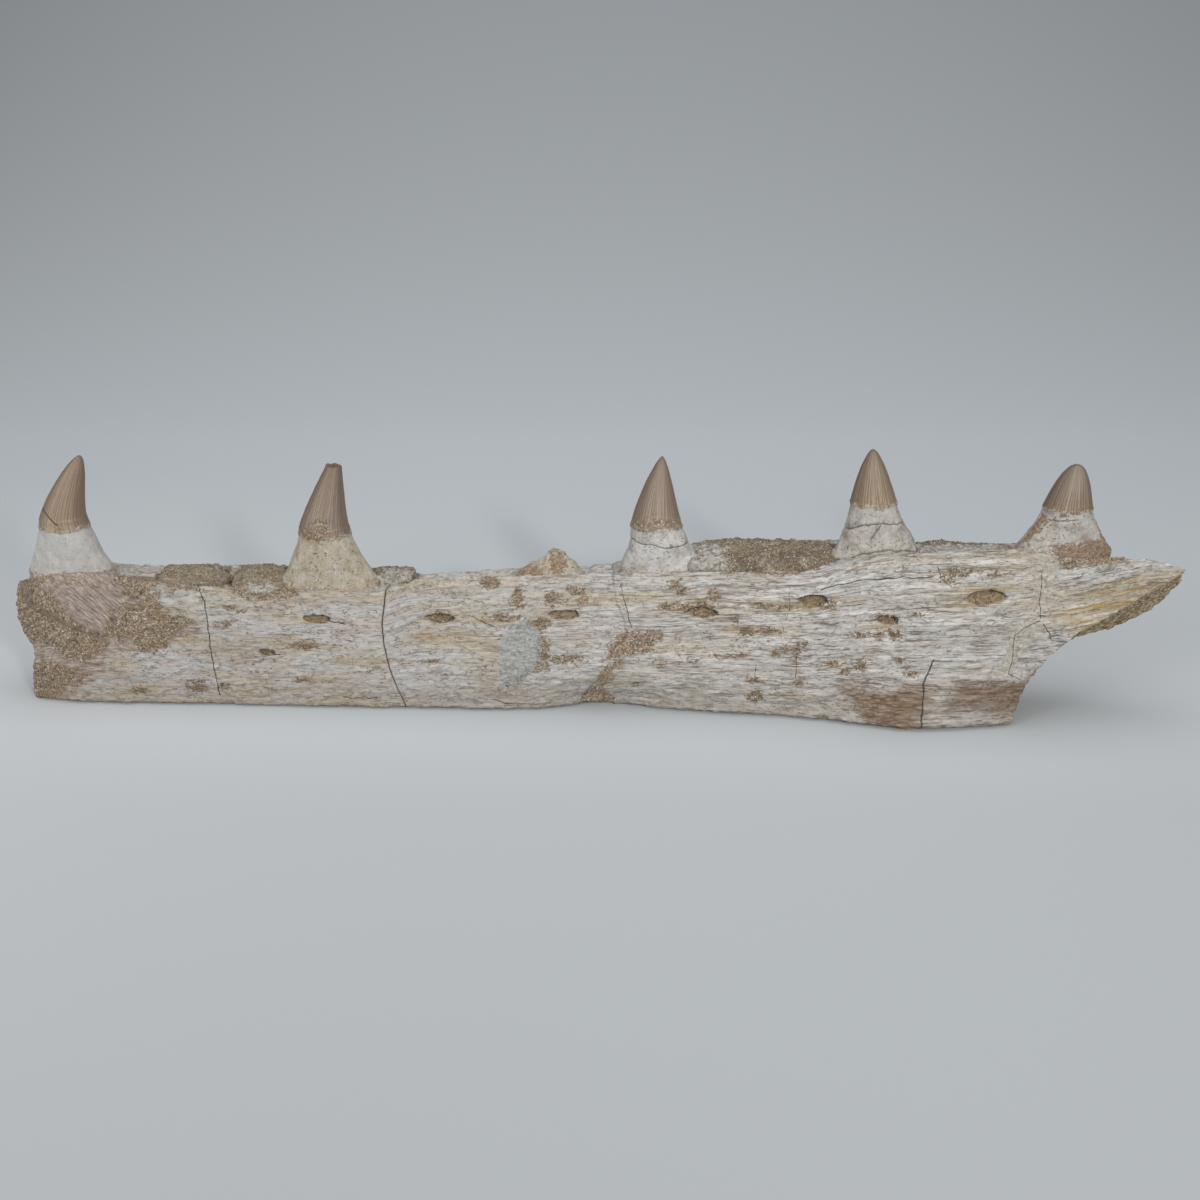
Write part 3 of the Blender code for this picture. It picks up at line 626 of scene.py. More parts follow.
def bone_piece(name, node, voxel, squeeze, outside):
    """One length of the bone: its true surface, with its grain, pits, cracks, flaked and sandy places."""
    mesh = fine_copy(node, voxel, squeeze)
    points, skin, depth = laid_on(outside, vertices_of(mesh), normals_of(mesh))
    edges = edges_of(mesh)
    points = relaxed(points, edges, 3)
    skin = relaxed(skin[:, None].repeat(3, 1), edges, 2)[:, 0]
    set_points(mesh, points)

    here = design(points)
    s, y, z = here.T
    lip = np.interp(s, PLACES, LIP_AT_PLACES)
    bow = np.interp(s, PLACES, BOW_AT_PLACES)
    grain = grain_at(s, y, z, lip)
    rear = ramp(s, 150, 330)
    away = (1 - ramp(bow - y, 1, 4)) * FAR
    marks = marks_on_bone(points, grain, lip, away)

    # the surface stays nearly plain by the joints, and the broken ends are rough
    broken = 1 - skin
    joints = [to_line(s, z, line) for line in (*HIDDEN_JOINTS, OPEN_JOINT)]
    away_from_joint = ramp(np.min(joints, 0), 0.6, 2.5)
    lift = bone_relief(here, grain, rear, marks)
    lift += ramp(z, lip - 7, lip - 2) * skin * 0.45 * layered(here / (5, 3, 3), 59, 3)
    lift = lift * (skin * (0.35 + 0.65 * away_from_joint))
    lift += away_from_joint * broken * (0.75 * layered(here / (2.8, 2.0, 2.0), 63, 4, 0.65) - 0.1)
    moved = points + normals_of(mesh) * (lift * MM)[:, None]
    for line, distance in zip(HIDDEN_JOINTS, joints):
        line_s = np.interp(z, [p[1] for p in line], [p[0] for p in line])
        moved[:, 0] += JOINT_SHUT * MM * np.sign(line_s - s) * ramp(distance, 1.3, 0.2)
    moved[:, 2] = np.where(points[:, 2] < FOOT_BAND * MM,
                           np.minimum(moved[:, 2], FOOT_ROUGHNESS * MM), moved[:, 2])
    move_vertices(mesh, moved)

    cover = np.max([-marks["sand"], -marks["stain"], -marks["blotch"] - 0.5,
                    np.where(broken * depth > 1.2, 0.6, -9) - away], 0)
    keep(mesh, grain=grain, rear=rear, depth=depth, broken=broken,
         sandy=ramp(cover, -0.2, 0.2) * away_from_joint, **marks)
    return new_piece(name, mesh, "weathered_bone", node)


# Teeth
def ring_mesh(name, rings):
    """A closed mesh through rings of equal counts, with a point closing each end."""
    rings = np.asarray(rings)
    levels, count = rings.shape[:2]
    points = list(framed(rings.reshape(-1, 3)))
    points += [framed(rings[0].mean(0)), framed(rings[-1].mean(0))]
    faces = tube_faces(levels, count)
    low, high = levels * count, levels * count + 1
    faces += [(low, (i + 1) % count, i) for i in range(count)]
    top = (levels - 1) * count
    faces += [(high, top + i, top + (i + 1) % count) for i in range(count)]
    mesh = bpy.data.meshes.new(name)
    mesh.from_pydata([tuple(p) for p in points], [], faces)
    mesh.update()
    return mesh


def base_half_depth(t):
    """Half the depth of a root where it leaves its socket, from the lip side to the tongue side."""
    return min(t.base_width * ROOT_DEPTH_SHARE, MOST_ROOT_DEPTH) / 2


def root_shape(t, z):
    """Centre along the jaw, half width and half depth of a root at each height."""
    step = np.clip((z - t.base_z) / (t.neck_z - t.base_z), 0, 1)
    flare = (1 - step) ** ROOT_FLARE
    base_half = base_half_depth(t)
    neck_half = t.neck_width * CROWN_DEPTH / 2
    return (t.s + (t.neck_s - t.s) * step,
            t.neck_width / 2 + (t.base_width - t.neck_width) / 2 * flare,
            neck_half + (base_half - neck_half) * flare)


def crown_piece(name, sides=160, levels=80, foot_levels=14):
    """An enamel crown: two cutting edges, long shallow facets, a worn or snapped tip, a ragged foot."""
    t = TEETH[name]
    bow = section_at(t.s).bow
    height = t.tip_z - t.neck_z
    root_slope = (t.neck_s - t.s) / (t.neck_z - t.base_z)
    top = 1.0 if not t.snapped else (t.snapped - t.neck_z) / height - 0.01
    angle = np.linspace(0, 2 * math.pi, sides, endpoint=False)
    edge = 1 + CARINA * np.cos(angle) ** 8
    round_tooth = np.stack((np.cos(angle), np.sin(angle), np.full(sides, len(name))), 1)
    foot_z = t.neck_z - FOOT_DROP[name] + 0.7 * layered(round_tooth * 2.5, ord(name[-1]), 3)
    foot_z += 0.5 * layered(round_tooth * 9, 79, 3, 0.7)
    rings, around = [], []

    def take(s, y, z):
        rings.append(np.stack((s, y, z), 1))
        around.append(np.stack((t.neck_width / 2 * np.cos(angle),
                                t.neck_width / 2 * np.sin(angle), z - foot_z), 1))

    # the foot laps over the root, and its first ring is tucked under
    for share in (0.0, *np.linspace(0, 0.97, foot_levels)):
        z = foot_z + (t.neck_z - foot_z) * share
        middle, half, depth = root_shape(t, z)
        proud = -1.2 if not rings else 0.22 * min(1, share * 6 + 0.2)
        take(middle + (half + proud) * edge * np.cos(angle), bow + (depth + proud) * np.sin(angle), z)
    # the crown leans with the root at first, then bends towards its tip
    for level in np.sin(np.linspace(0, math.pi / 2, levels)) * top:
        size = max(t.neck_width / 2 * max(1 - level, 0.0) ** t.taper, 0.02)
        lean = root_slope * height * level
        centre = t.neck_s + lean + (t.tip_s - t.neck_s - root_slope * height) * level**1.25
        facets = 1 - 0.006 * np.cos(angle * 17) ** 2 * (1 - level) ** 0.3
        s = centre + size * edge * facets * np.cos(angle)
        z = np.full(sides, t.neck_z + GAP + (height - GAP) * level)
        if t.snapped and level > top * 0.999:
            z = z + 0.12 * (s.max() - s) + 0.5 * layered(round_tooth * 2.2, 78, 3, 0.6)
        take(s, bow + size * CROWN_DEPTH * facets * np.sin(angle), z)
    whole = len(rings)
    if t.snapped:
        # the broken end is a shallow hollow
        rim, middle = rings[-1], rings[-1].mean(0)
        for share, drop in ((0.93, 0.05), (0.8, 0.45), (0.55, 0.5), (0.3, 0.35)):
            ring = middle + (rim - middle) * share
            take(ring[:, 0], ring[:, 1], ring[:, 2] - drop)
    mesh = ring_mesh(name + "_crown", rings)
    points = vertices_of(mesh)
    around = np.concatenate((np.concatenate(around), [around[0].mean(0)], [around[-1].mean(0)]))
    s, y, z = design(points).T
    away = np.where(y < bow, 0, 9)
    crack = to_cracks(s, z, [c for tooth, *c in CROWN_CRACKS if tooth == name]) + away[:, None]
    dirt = dirt_on(name, s, y, z, bow)
    lift = 0.05 * layered(design(points) / 3.0, 71, 2) + 0.035 * layered(around / (0.9, 0.9, 22), 73, 2)
    lift -= 0.08 * crack_dip(crack)
    lift += 0.25 * ramp(dirt, 0.4, -0.6) * layered(design(points) / 1.4, 75, 3, 0.7)
    points += normals_of(mesh) * (lift * MM)[:, None]
    move_vertices(mesh, points)
    cut_end = np.zeros(len(points))
    cut_end[whole * sides:-2] = 1
    cut_end[-1] = float(bool(t.snapped))
    keep(mesh, around=around, grain=design(points), crack=crack, dirt=dirt, cut_end=cut_end,
         up=around[:, 2] / around[:, 2].max())
    return new_piece(name + "_enamel", mesh, "tooth_enamel", name + "_crown")


def dirt_on(name, s, y, z, bow):
    """Distance in mm to the sandy dirt that sticks to a tooth, minus inside it."""
    here = np.stack((s, y, z), 1)
    best = np.full(len(s), FAR)
    for tooth, patch in TOOTH_DIRT:
        if tooth == name:
            best = np.minimum(best, to_patch(s, z, patch))
    return best + layered(here / (2.4, 2.0, 1.8), 77, 4) * 0.9 + np.where(y < bow, 0, FAR)


def root_piece(name, ground, sides=220, levels=120):
    """A root of bony cementum: it flares where it leaves its socket and narrows to the crown's neck."""
    t = TEETH[name]
    bow = section_at(t.s).bow
    angle = np.linspace(0, 2 * math.pi, sides, endpoint=False)
    _, base_half_wide, base_half_deep = root_shape(t, np.array([t.base_z]))
    # where the bone or rock meets the root, all round it
    rim = np.full(sides, float(t.base_z))
    for i, a in enumerate(angle):
        spot = framed((t.s + (base_half_wide[0] + 1.2) * math.cos(a),
                       bow + (base_half_deep[0] + 1.2) * math.sin(a), 130))
        hits = [tree.ray_cast(Vector(spot), Vector((0, 0, -1)))[0] for tree in ground]
        heights = [hit.z / MM for hit in hits if hit is not None]
        rim[i] = max(heights, default=t.base_z)
    rim = np.clip(rim, t.base_z - 9, t.base_z + 6)
    for _ in range(6):
        rim = (np.roll(rim, 1) + rim + np.roll(rim, -1)) / 3
    rings = []
    bottom = t.base_z - SOCKET_DEPTH
    for z in np.linspace(bottom, t.neck_z, levels):
        middle, half, depth = root_shape(t, z)
        plug = 0.9 + 0.1 * ramp(np.array([z]), bottom, t.base_z - SOCKET_DEPTH * 0.3)[0]
        bead = 0.55 * np.exp(-((z - rim + 0.2) / 1.1) ** 2)
        rings.append(np.stack((
            middle + (half * plug + bead) * np.cos(angle),
            bow + (depth * plug + bead) * np.sin(angle), np.full(sides, z)), 1))
    mesh = ring_mesh(name + "_root", rings)
    points = vertices_of(mesh)
    here = design(points)
    s, y, z = here.T
    up = np.clip((z - t.base_z) / (t.neck_z - t.base_z), 0, 1)
    above = ramp(z, t.base_z - 3, t.base_z + 1)
    covered = t.neck_z - FOOT_DROP.get(name, 0)
    neck = 1 - ramp(z, covered - 3, covered - 0.5)
    rugged = ROOT_ROUGHNESS.get(name, USUAL_ROUGHNESS) * (0.5 + 0.5 * ramp(up, 0.6, 0.2))
    lift = above * neck * (0.4 * layered(here / (8, 7, 7), 81, 3) + rugged * (
        0.16 * layered(here / (1.7, 1.7, 2.4), 83, 3, 0.6)
        - 0.3 * ramp(random_field(here / 1.7, 85), 0.5, 0.8)))
    wander = layered(here / 3.0, 87, 3) * 0.5
    away = np.where(y < bow, 0, 9)
    crack = to_cracks(s + wander, z + wander, [c for tooth, *c in ROOT_CRACKS if tooth == name])
    crack = crack + away[:, None]
    lift -= 0.45 * crack_dip(crack)
    dirt = dirt_on(name, s, y, z, bow)
    lift += neck * ramp(dirt, 0.4, -0.6) * (0.45 * layered(here / 1.5, 75, 3, 0.7) - 0.15)
    if name == "tooth_stump":
        lift = lift + above * 0.8 * layered(here / (3.0, 3.0, 3.0), 89, 3)
    points += normals_of(mesh) * (lift * MM)[:, None]
    move_vertices(mesh, points)
    keep(mesh, grain=here, crack=crack, up=up, dirt=dirt)
    return new_piece(name + "_cementum", mesh, "root_cementum", name + "_root")


def rock_piece(name, node):
    """Sandy rock left in an empty socket."""
    mesh = fine_copy(node, 0.55, 1.0)
    points = relaxed(vertices_of(mesh), edges_of(mesh), 6)
    set_points(mesh, points)
    here = design(points)
    s, y, z = here.T
    normals = normals_of(mesh)
    top = ramp(normals[:, 2], -0.2, 0.4)
    side = 1 - ramp(np.abs(normals[:, 2]), 0.5, 0.9)
    skirt = side * ramp(z, z.max() - 8, z.max() - 5)
    lift = 0.15 + 0.7 * layered(here / (9, 7, 7), 91, 3) + 0.42 * layered(here / 1.25, 93, 3, 0.75)
    lift = lift * (0.25 + 0.75 * top) + skirt * (0.7 + 1.1 * layered(here / (3.0, 3.0, 2.0), 95, 3))
    move_vertices(mesh, points + normals * (lift * MM)[:, None])

    # distance in mm to the pale crust, minus inside it
    crusted = np.full(len(s), 30.0)
    if node == "matrix_fill_5":
        crusted = y - (0.35 * y.min() + 0.65 * y.max())
    if node in CRUSTS:
        crust_s, crust_y, half_long, half_wide = CRUSTS[node]
        share = np.hypot((s - crust_s) / half_long, (y - crust_y) / half_wide)
        crusted = (share - 1) * half_wide
    keep(mesh, grain=here, crusted=crusted, sandy=top * ramp(crusted, -1, 1))
    return new_piece(name, mesh, "sandy_matrix", node)


def tree_of(mesh):
    """A tree to look up near points and ray hits on a mesh in."""
    return BVHTree.FromPolygons([v.co for v in mesh.vertices], [tuple(f.vertices) for f in mesh.polygons])


outside = smooth_outside()
rocks = [rock_piece(f"rock_fill_{i}", f"matrix_fill_{i}") for i in range(1, 6)]
rock_trees = [tree_of(piece.data) for piece in rocks]
# the faces' height in mm, and how many times longer they are along the jaw
bones = [
    bone_piece("bone_front_cap", "matrix_front_cap", 0.45, 1.5, outside),
    bone_piece("bone_front", "dentary_front", 0.46, 2.2, outside),
    bone_piece("bone_middle", "dentary_middle", 0.46, 2.2, outside),
    bone_piece("bone_rear", "dentary_rear", 0.55, 2.7, outside),
]
ground = rock_trees + [tree_of(piece.data) for piece in bones]
roots = [root_piece(name, ground) for name in TEETH]
crowns = [crown_piece(name) for name in TEETH if name != "tooth_stump"]


# Materials
ATTRIBUTE, MATH, NOISE = "ShaderNodeAttribute", "ShaderNodeMath", "ShaderNodeTexNoise"
MIX, RAMP, RANGE, VECTOR = (
    "ShaderNodeMix", "ShaderNodeValToRGB", "ShaderNodeMapRange", "ShaderNodeVectorMath")

# the tints of single grains, from the rarest dark ones to the rarest pale ones
SAND_TINT = ((0.0, "#867560"), (0.3, "#9b8570"), (0.65, "#aa9783"), (0.9, "#c0b19f"), (1.0, "#d5cabc"))
ROCK_TINT = ((0.0, "#716555"), (0.3, "#847767"), (0.65, "#948778"), (0.9, "#a69e91"), (1.0, "#bbb6ae"))
GRAIN_TINT = ((0.0, "#4f4436"), (0.35, "#786b59"), (0.7, "#928570"), (0.92, "#aea391"), (1.0, "#c9c1b3"))

# cementum, from its dark hollows to its pale swells
CREAM = ((0.1, "#958a74"), (0.4, "#a69c88"), (0.8, "#b1a99a"))
WHITE = ((0.1, "#a7a3a0"), (0.4, "#b0ada9"), (0.8, "#b7b4b0"))
SPECKED = ((0.1, "#9c9996"), (0.4, "#afada9"), (0.8, "#b9b7b4"))
GREY_WHITE = ((0.1, "#8c847b"), (0.4, "#a49e97"), (0.8, "#b2afa8"))
# tints, how much it is specked, the colour of its stains and how much of them shows
ROOT_LOOKS = {
    "tooth_1": (WHITE, 0.1, "#b3a689", 0.3), "tooth_2": (CREAM, 1.0, "#9c8767", 0.8),
    "tooth_3": (SPECKED, 0.75, "#9a8868", 0.6), "tooth_4": (GREY_WHITE, 0.6, "#96846a", 0.8),
    "tooth_5": (GREY_WHITE, 0.9, "#7d6553", 1.0), "tooth_stump": (CREAM, 0.8, "#857158", 1.0),
}
# colours of the foot, the middle and the tip, and how far up the foot reaches
CROWN_LOOKS = {
    "tooth_1": ("#a18d6f", "#907b63", "#8b7761", 0.1),
    "tooth_2": ("#897865", "#7d6f63", "#7b6857", 0.1),
    "tooth_3": ("#827055", "#776859", "#79675a", 0.12),
    "tooth_4": ("#837052", "#796850", "#746352", 0.14),
    "tooth_5": ("#746146", "#6c5948", "#857869", 0.16),
}


def new_material(name, roughness, specular=0.4):
    """A new material, its node tree and its shader."""
    material = bpy.data.materials.new(name)
    material.use_nodes = True
    shader = material.node_tree.nodes["Principled BSDF"]
    shader.inputs["Roughness"].default_value = roughness
    shader.inputs["Specular IOR Level"].default_value = specular
    return material, material.node_tree, shader


def finished(tree, shader, colour, height, depth_mm, strength=0.8):
    """Gives the surface its colour and its fine relief, depth_mm deep."""
    bump = add(tree, "ShaderNodeBump", {"Height": height, "Strength": strength, "Distance": depth_mm * MM})
    tree.links.new(colour, shader.inputs["Base Color"])
    tree.links.new(bump, shader.inputs["Normal"])


def pattern(tree, place, size, low=0.0, high=1.0, detail=3.0, roughness=0.55, start=0.0, end=1.0):
    """A cloudy pattern with patches of that size in mm, eased from start to end between two levels."""
    spread = add(tree, VECTOR, {0: place, 1: [1 / length for length in size]}, operation="MULTIPLY")
    cloud = add(tree, NOISE, {"Vector": spread, "Scale": 1.0, "Detail": detail,
                              "Roughness": roughness})
    return add(tree, RANGE, {"Value": cloud, "From Min": low, "From Max": high,
                             "To Min": start, "To Max": end}, interpolation_type="SMOOTHSTEP")


def layered_colour(tree, base, layers):
    """Lays colours over a base, one after the other.

    Each layer is its colour, then the shares that are multiplied into how much of it shows.
    """
    for colour, share, *more in layers:
        for factor in more:
            share = add(tree, MATH, {0: share, 1: factor}, operation="MULTIPLY")
        base = add(tree, MIX, {0: share, 6: base, 7: colour}, out=2, data_type="RGBA")
    return base


def layered_height(tree, *parts):
    """Adds up patterns, each with how high it stands, minus for how deep it lies."""
    height = 0.0
    for cloud, high in parts:
        height = add(tree, MATH, {0: cloud, 1: high, 2: height}, operation="MULTIPLY_ADD")
    return height


def sand_colour(tree, place, tint, gaps="#4b3d2e"):
    """Cemented sand: each grain its own shade of brown, buff or grey, with painted shade in the gaps
    between them; gaps is the colour of that painted shade, also laid in coarse patches.
    """
    spread = add(tree, VECTOR, {0: place, 1: (1.5, 1.5, 1.5)}, operation="MULTIPLY")
    wobble = add(tree, NOISE, {"Vector": spread, "Scale": 1.3, "Detail": 2.0}, out=1)
    spread = add(tree, VECTOR, {0: spread, 1: wobble}, operation="ADD")
    cells = {"Vector": spread, "Scale": 1.0}
    shade = add(tree, "ShaderNodeTexVoronoi", cells, out="Color")
    gap = add(tree, "ShaderNodeTexVoronoi", cells, out="Distance")
    shade = add(tree, "ShaderNodeSeparateColor", {0: shade})
    grains = add(tree, RAMP, {"Fac": shade}, stops=tint)
    # painted shade: each grain is painted darker towards its edge
    dark = add(tree, RANGE, {"Value": gap, "From Min": 0.45, "From Max": 0.8},
               interpolation_type="SMOOTHSTEP")
    coarse = pattern(tree, place, (2.6, 2.0, 2.0), 0.52, 0.68, 3.0)
    ochre = pattern(tree, place, (12, 9, 9), 0.45, 0.65, 3.0)
    tone = layered_colour(tree, grains, ((gaps, dark, 0.7), (gaps, coarse, 0.4), ("#8f7a55", ochre, 0.3)))
    relief = add(tree, MATH, {0: gap, 1: -1.0, 2: 1.0}, operation="MULTIPLY_ADD")
    return tone, relief


def crack_line(tree, ragged):
    """How much of a crack's dark line shows."""
    offset = add(tree, ATTRIBUTE, out="Vector", attribute_name="crack")
    flat = add(tree, VECTOR, {0: offset, 1: (1, 1, 0)}, operation="MULTIPLY")
    near = add(tree, VECTOR, {0: flat}, out="Value", operation="LENGTH")
    near = add(tree, MATH, {0: ragged, 1: 0.2, 2: near}, operation="MULTIPLY_ADD")
    line = add(tree, RANGE, {"Value": near, "From Min": 0.85, "From Max": 0.35},
               interpolation_type="SMOOTHSTEP")
    far = add(tree, "ShaderNodeSeparateXYZ", {0: offset}, out=2)
    far = add(tree, RANGE, {"Value": far, "From Min": 3.0, "From Max": 2.2})
    return add(tree, MATH, {0: line, 1: far}, operation="MULTIPLY")


def edge_mask(tree, name, ragged, rag, low, high):
    """1 inside a patch and 0 outside it, from the distance kept on the mesh, with a ragged edge."""
    distance = add(tree, ATTRIBUTE, out="Fac", attribute_name=name)
    distance = add(tree, MATH, {0: ragged, 1: rag, 2: distance}, operation="MULTIPLY_ADD")
    return add(tree, RANGE, {"Value": distance, "From Min": low, "From Max": high},
               interpolation_type="SMOOTHSTEP")


def contour_lines(tree, place, size, width, gaps):
    """Thin lines along the contours of a stretched cloud, broken up by gaps; sizes in mm."""
    spread = add(tree, VECTOR, {0: place, 1: [1 / length for length in size]}, operation="MULTIPLY")
    level = add(tree, NOISE, {"Vector": spread, "Scale": 1.0, "Detail": 3.0, "Roughness": 0.6})
    level = add(tree, MATH, {0: level, 1: 0.5}, operation="SUBTRACT")
    level = add(tree, MATH, {0: level}, operation="ABSOLUTE")
    line = add(tree, RANGE, {"Value": level, "From Min": width, "From Max": width * 0.3},
               interpolation_type="SMOOTHSTEP")
    some = pattern(tree, place, gaps, 0.43, 0.58, 2.0)
    return add(tree, MATH, {0: line, 1: some}, operation="MULTIPLY")


def clean_bone(tree, grain):
    """The colour of bare bone, its relief, and its pale lines.

    Broad tints lie under the light and dark of the grain and its thin dirty lines. The front half has
    short wavy hairlines, which are contour lines of a stretched pattern, and the rear half long ones.
    """
    rear = add(tree, ATTRIBUTE, out="Fac", attribute_name="rear")
    mostly_rear = add(tree, MATH, {0: rear, 1: 0.3, 2: 0.5}, operation="MULTIPLY_ADD")
    mostly_front = add(tree, MATH, {0: rear, 1: -0.8, 2: 0.9}, operation="MULTIPLY_ADD")
    # painted shade: the bone is painted darker towards its lower border
    shade_low_down = add(tree, "ShaderNodeSeparateXYZ", {0: grain}, out=2)
    shade_low_down = add(tree, RANGE, {"Value": shade_low_down, "From Min": 18.0, "From Max": 0.0})
    tint = pattern(tree, grain, (38, 16, 13), 0.25, 0.75, 3.0)
    base = add(tree, RAMP, {"Fac": tint}, stops=(
        (0.1, "#a99e91"), (0.4, "#b2aca4"), (0.62, "#b4b3b1"), (0.9, "#b5aba4")))
    base = layered_colour(tree, base, (("#b6b5b2", rear, 0.5),))
    warm = pattern(tree, grain, (55, 20, 9), 0.5, 0.7, 2.0, end=0.6)
    pale = pattern(tree, grain, (14, 1.3, 1.3), 0.54, 0.74, 4.0, 0.66, end=0.35)
    dull = pattern(tree, grain, (9, 1.0, 1.0), 0.43, 0.27, 4.0, 0.66, end=0.25)
    pale_line = pattern(tree, grain, (50, 6.0, 1.5), 0.48, 0.66, 2.0, 0.5, end=0.45)
    dull_line = pattern(tree, grain, (34, 5.0, 1.0), 0.44, 0.30, 2.0, 0.5, end=0.3)
    mottle = pattern(tree, grain, (3.0, 1.6, 1.6), 0.5, 0.72, 4.0, 0.7, end=0.3)
    clusters = pattern(tree, grain, (16, 8, 8), 0.42, 0.62, 2.0)
    hairline = contour_lines(tree, grain, (6.0, 1.5, 1.5), 0.020, (4, 2, 2))
    long_line = contour_lines(tree, grain, (44.0, 6.0, 1.7), 0.030, (12, 2.5, 1.6))
    thin_line = contour_lines(tree, grain, (26.0, 5.0, 1.1), 0.036, (9, 2.5, 2.5))
    dash = pattern(tree, grain, (8.0, 0.5, 0.5), 0.59, 0.66, 2.0, 0.5)
    fleck = pattern(tree, grain, (4.5, 1.1, 1.0), 0.62, 0.68, 4.0, 0.65)
    speck = pattern(tree, grain, (1.3, 0.8, 0.8), 0.6, 0.66, 2.0, 0.5)
    # the last layer is painted shade, darker towards the lower border
    base = layered_colour(tree, base, (
        ("#b3a68d", warm), ("#d8d6d2", pale, mostly_front), ("#978d81", dull, mostly_front),
        ("#dddbd7", pale_line, rear), ("#a39a8f", dull_line, rear), ("#a89f94", mottle, mostly_front),
        ("#675c4f", hairline, mostly_front), ("#70655a", dash, mostly_rear, 0.4),
        ("#7b7064", thin_line, rear, 0.85), ("#6d6256", long_line, rear, 0.85),
        ("#93805d", fleck, rear, 0.7), ("#786753", speck, clusters, 0.75), ("#8d8171", shade_low_down, 0.5)))
    relief = (pale, 0.4), (dash, -0.6), (hairline, -0.8), (long_line, -0.8), (speck, -0.5)
    return base, relief, pale_line


def marked_bone(tree, grain, base, pale_line):
    """The bone's stained, flaked, filled and sandy places over its own colour, painted shade in its nerve
    openings, and the sand's relief.
    """
    ragged = pattern(tree, grain, (1.5, 1.0, 1.0), 0.2, 0.8, 4.0, 0.75, start=-1.6, end=1.6)
    masks = {name: edge_mask(tree, name, ragged, rag, low, high) for name, rag, low, high in (
        ("flaked", 0.4, 0.2, -0.2), ("stain", 1.3, 0.3, -0.3), ("blotch", 1.7, 0.1, -0.6),
        ("sand", 1.3, 0.4, -0.4), ("putty", 0.5, 0.3, -0.3), ("yellow", 1.6, 1.8, -2.0),
        ("tongue", 1.0, 6.0, -4.0), ("low_stain", 1.0, 6.0, -5.0), ("near_root", 1.4, 2.0, -0.5))}
    fibre = pattern(tree, grain, (7, 0.7, 0.7), 0.25, 0.75, 4.0, 0.7)
    brown_grain = add(tree, RAMP, {"Fac": fibre}, stops=(
        (0.1, "#806f62"), (0.38, "#968679"), (0.62, "#a7998e"), (0.9, "#bfb4aa")))
    strong = add(tree, RANGE, {"Value": fibre, "From Min": 0.7, "From Max": 0.25, "To Min": 0.0,
                               "To Max": 0.9})
    marks = pattern(tree, grain, (2.2, 0.8, 0.8), 0.46, 0.56, 3.0)
    streak = pattern(tree, grain, (30, 5.0, 1.0), 0.62, 0.40, 3.0, 0.55, start=0.05, end=0.95)
    solid = add(tree, RANGE, {"Value": fibre, "From Min": 0.85, "From Max": 0.25, "To Min": 0.5,
                              "To Max": 0.95})
    sand, sand_relief = sand_colour(tree, grain, SAND_TINT)
    putty = add(tree, RAMP, {"Fac": pattern(tree, grain, (1.3,) * 3, 0.25, 0.75, 4.0, 0.75)}, stops=(
        (0.1, "#807e78"), (0.4, "#9d9d99"), (0.8, "#abada9")))
    cement = add(tree, RAMP, {"Fac": pattern(tree, grain, (1.5,) * 3, 0.25, 0.75, 4.0, 0.7)}, stops=(
        (0.1, "#8d8173"), (0.4, "#aba396"), (0.8, "#bdb8af")))
    base = layered_colour(tree, base, (
        (cement, masks["near_root"], 0.8), ("#a48d62", masks["yellow"], streak, 0.75),
        ("#a08552", masks["tongue"], streak), ("#d2c8b4", masks["tongue"], pale_line),
        ("#6a4d30", masks["low_stain"], solid, 0.95),
        (brown_grain, masks["flaked"]), (sand, masks["stain"]),
        ("#a48a5c", edge_mask(tree, "blotch", ragged, 1.5, 1.3, -0.6), strong, 0.8),
        (sand, masks["blotch"], 0.85), ("#66533b", masks["blotch"], marks, 0.75),
        (sand, masks["sand"]), (putty, masks["putty"])))
    broken = add(tree, ATTRIBUTE, out="Fac", attribute_name="broken")
    deep = add(tree, ATTRIBUTE, out="Fac", attribute_name="depth")
    deep = add(tree, RANGE, {"Value": deep, "From Min": 0.3, "From Max": 1.4})
    sponge = add(tree, RAMP, {"Fac": pattern(tree, grain, (1.8, 1.0, 1.0), 0.3, 0.7, 3.0)}, stops=(
        (0.1, "#6e5d45"), (0.45, "#978465"), (0.8, "#b3a489")))
    # the broken ends' spongy colour, then painted shade in each nerve opening and a painted shadow under
    # its upper edge, then the cracks
    base = layered_colour(tree, base, (
        (sponge, broken, deep), ("#8b775c", edge_mask(tree, "shaded_hole", ragged, 0.3, 0.2, -0.7), 0.55),
        ("#4c3d2e", edge_mask(tree, "hole_rim_shadow", ragged, 0.25, 0.25, -0.35), 0.85),
        ("#453a30", crack_line(tree, ragged), 0.9)))

    sandy = add(tree, MATH, {0: masks["sand"], 1: masks["stain"]}, operation="MAXIMUM")
    sandy = add(tree, MATH, {0: sandy, 1: masks["blotch"]}, operation="MAXIMUM")
    sandy = add(tree, MATH, {0: sandy, 1: sand_relief}, operation="MULTIPLY")
    return base, sandy


def weathered_bone():
    """Mineral-filled bone, scoured by wind and sand: matt and pale grey, with dirt in its long grain."""
    material, tree, shader = new_material("weathered_bone", 0.8, 0.35)
    grain = add(tree, ATTRIBUTE, out="Vector", attribute_name="grain")
    base, relief, pale_line = clean_bone(tree, grain)
    base, sandy = marked_bone(tree, grain, base, pale_line)
    finished(tree, shader, base, layered_height(tree, *relief, (sandy, 1.4)), 0.3)
    return material


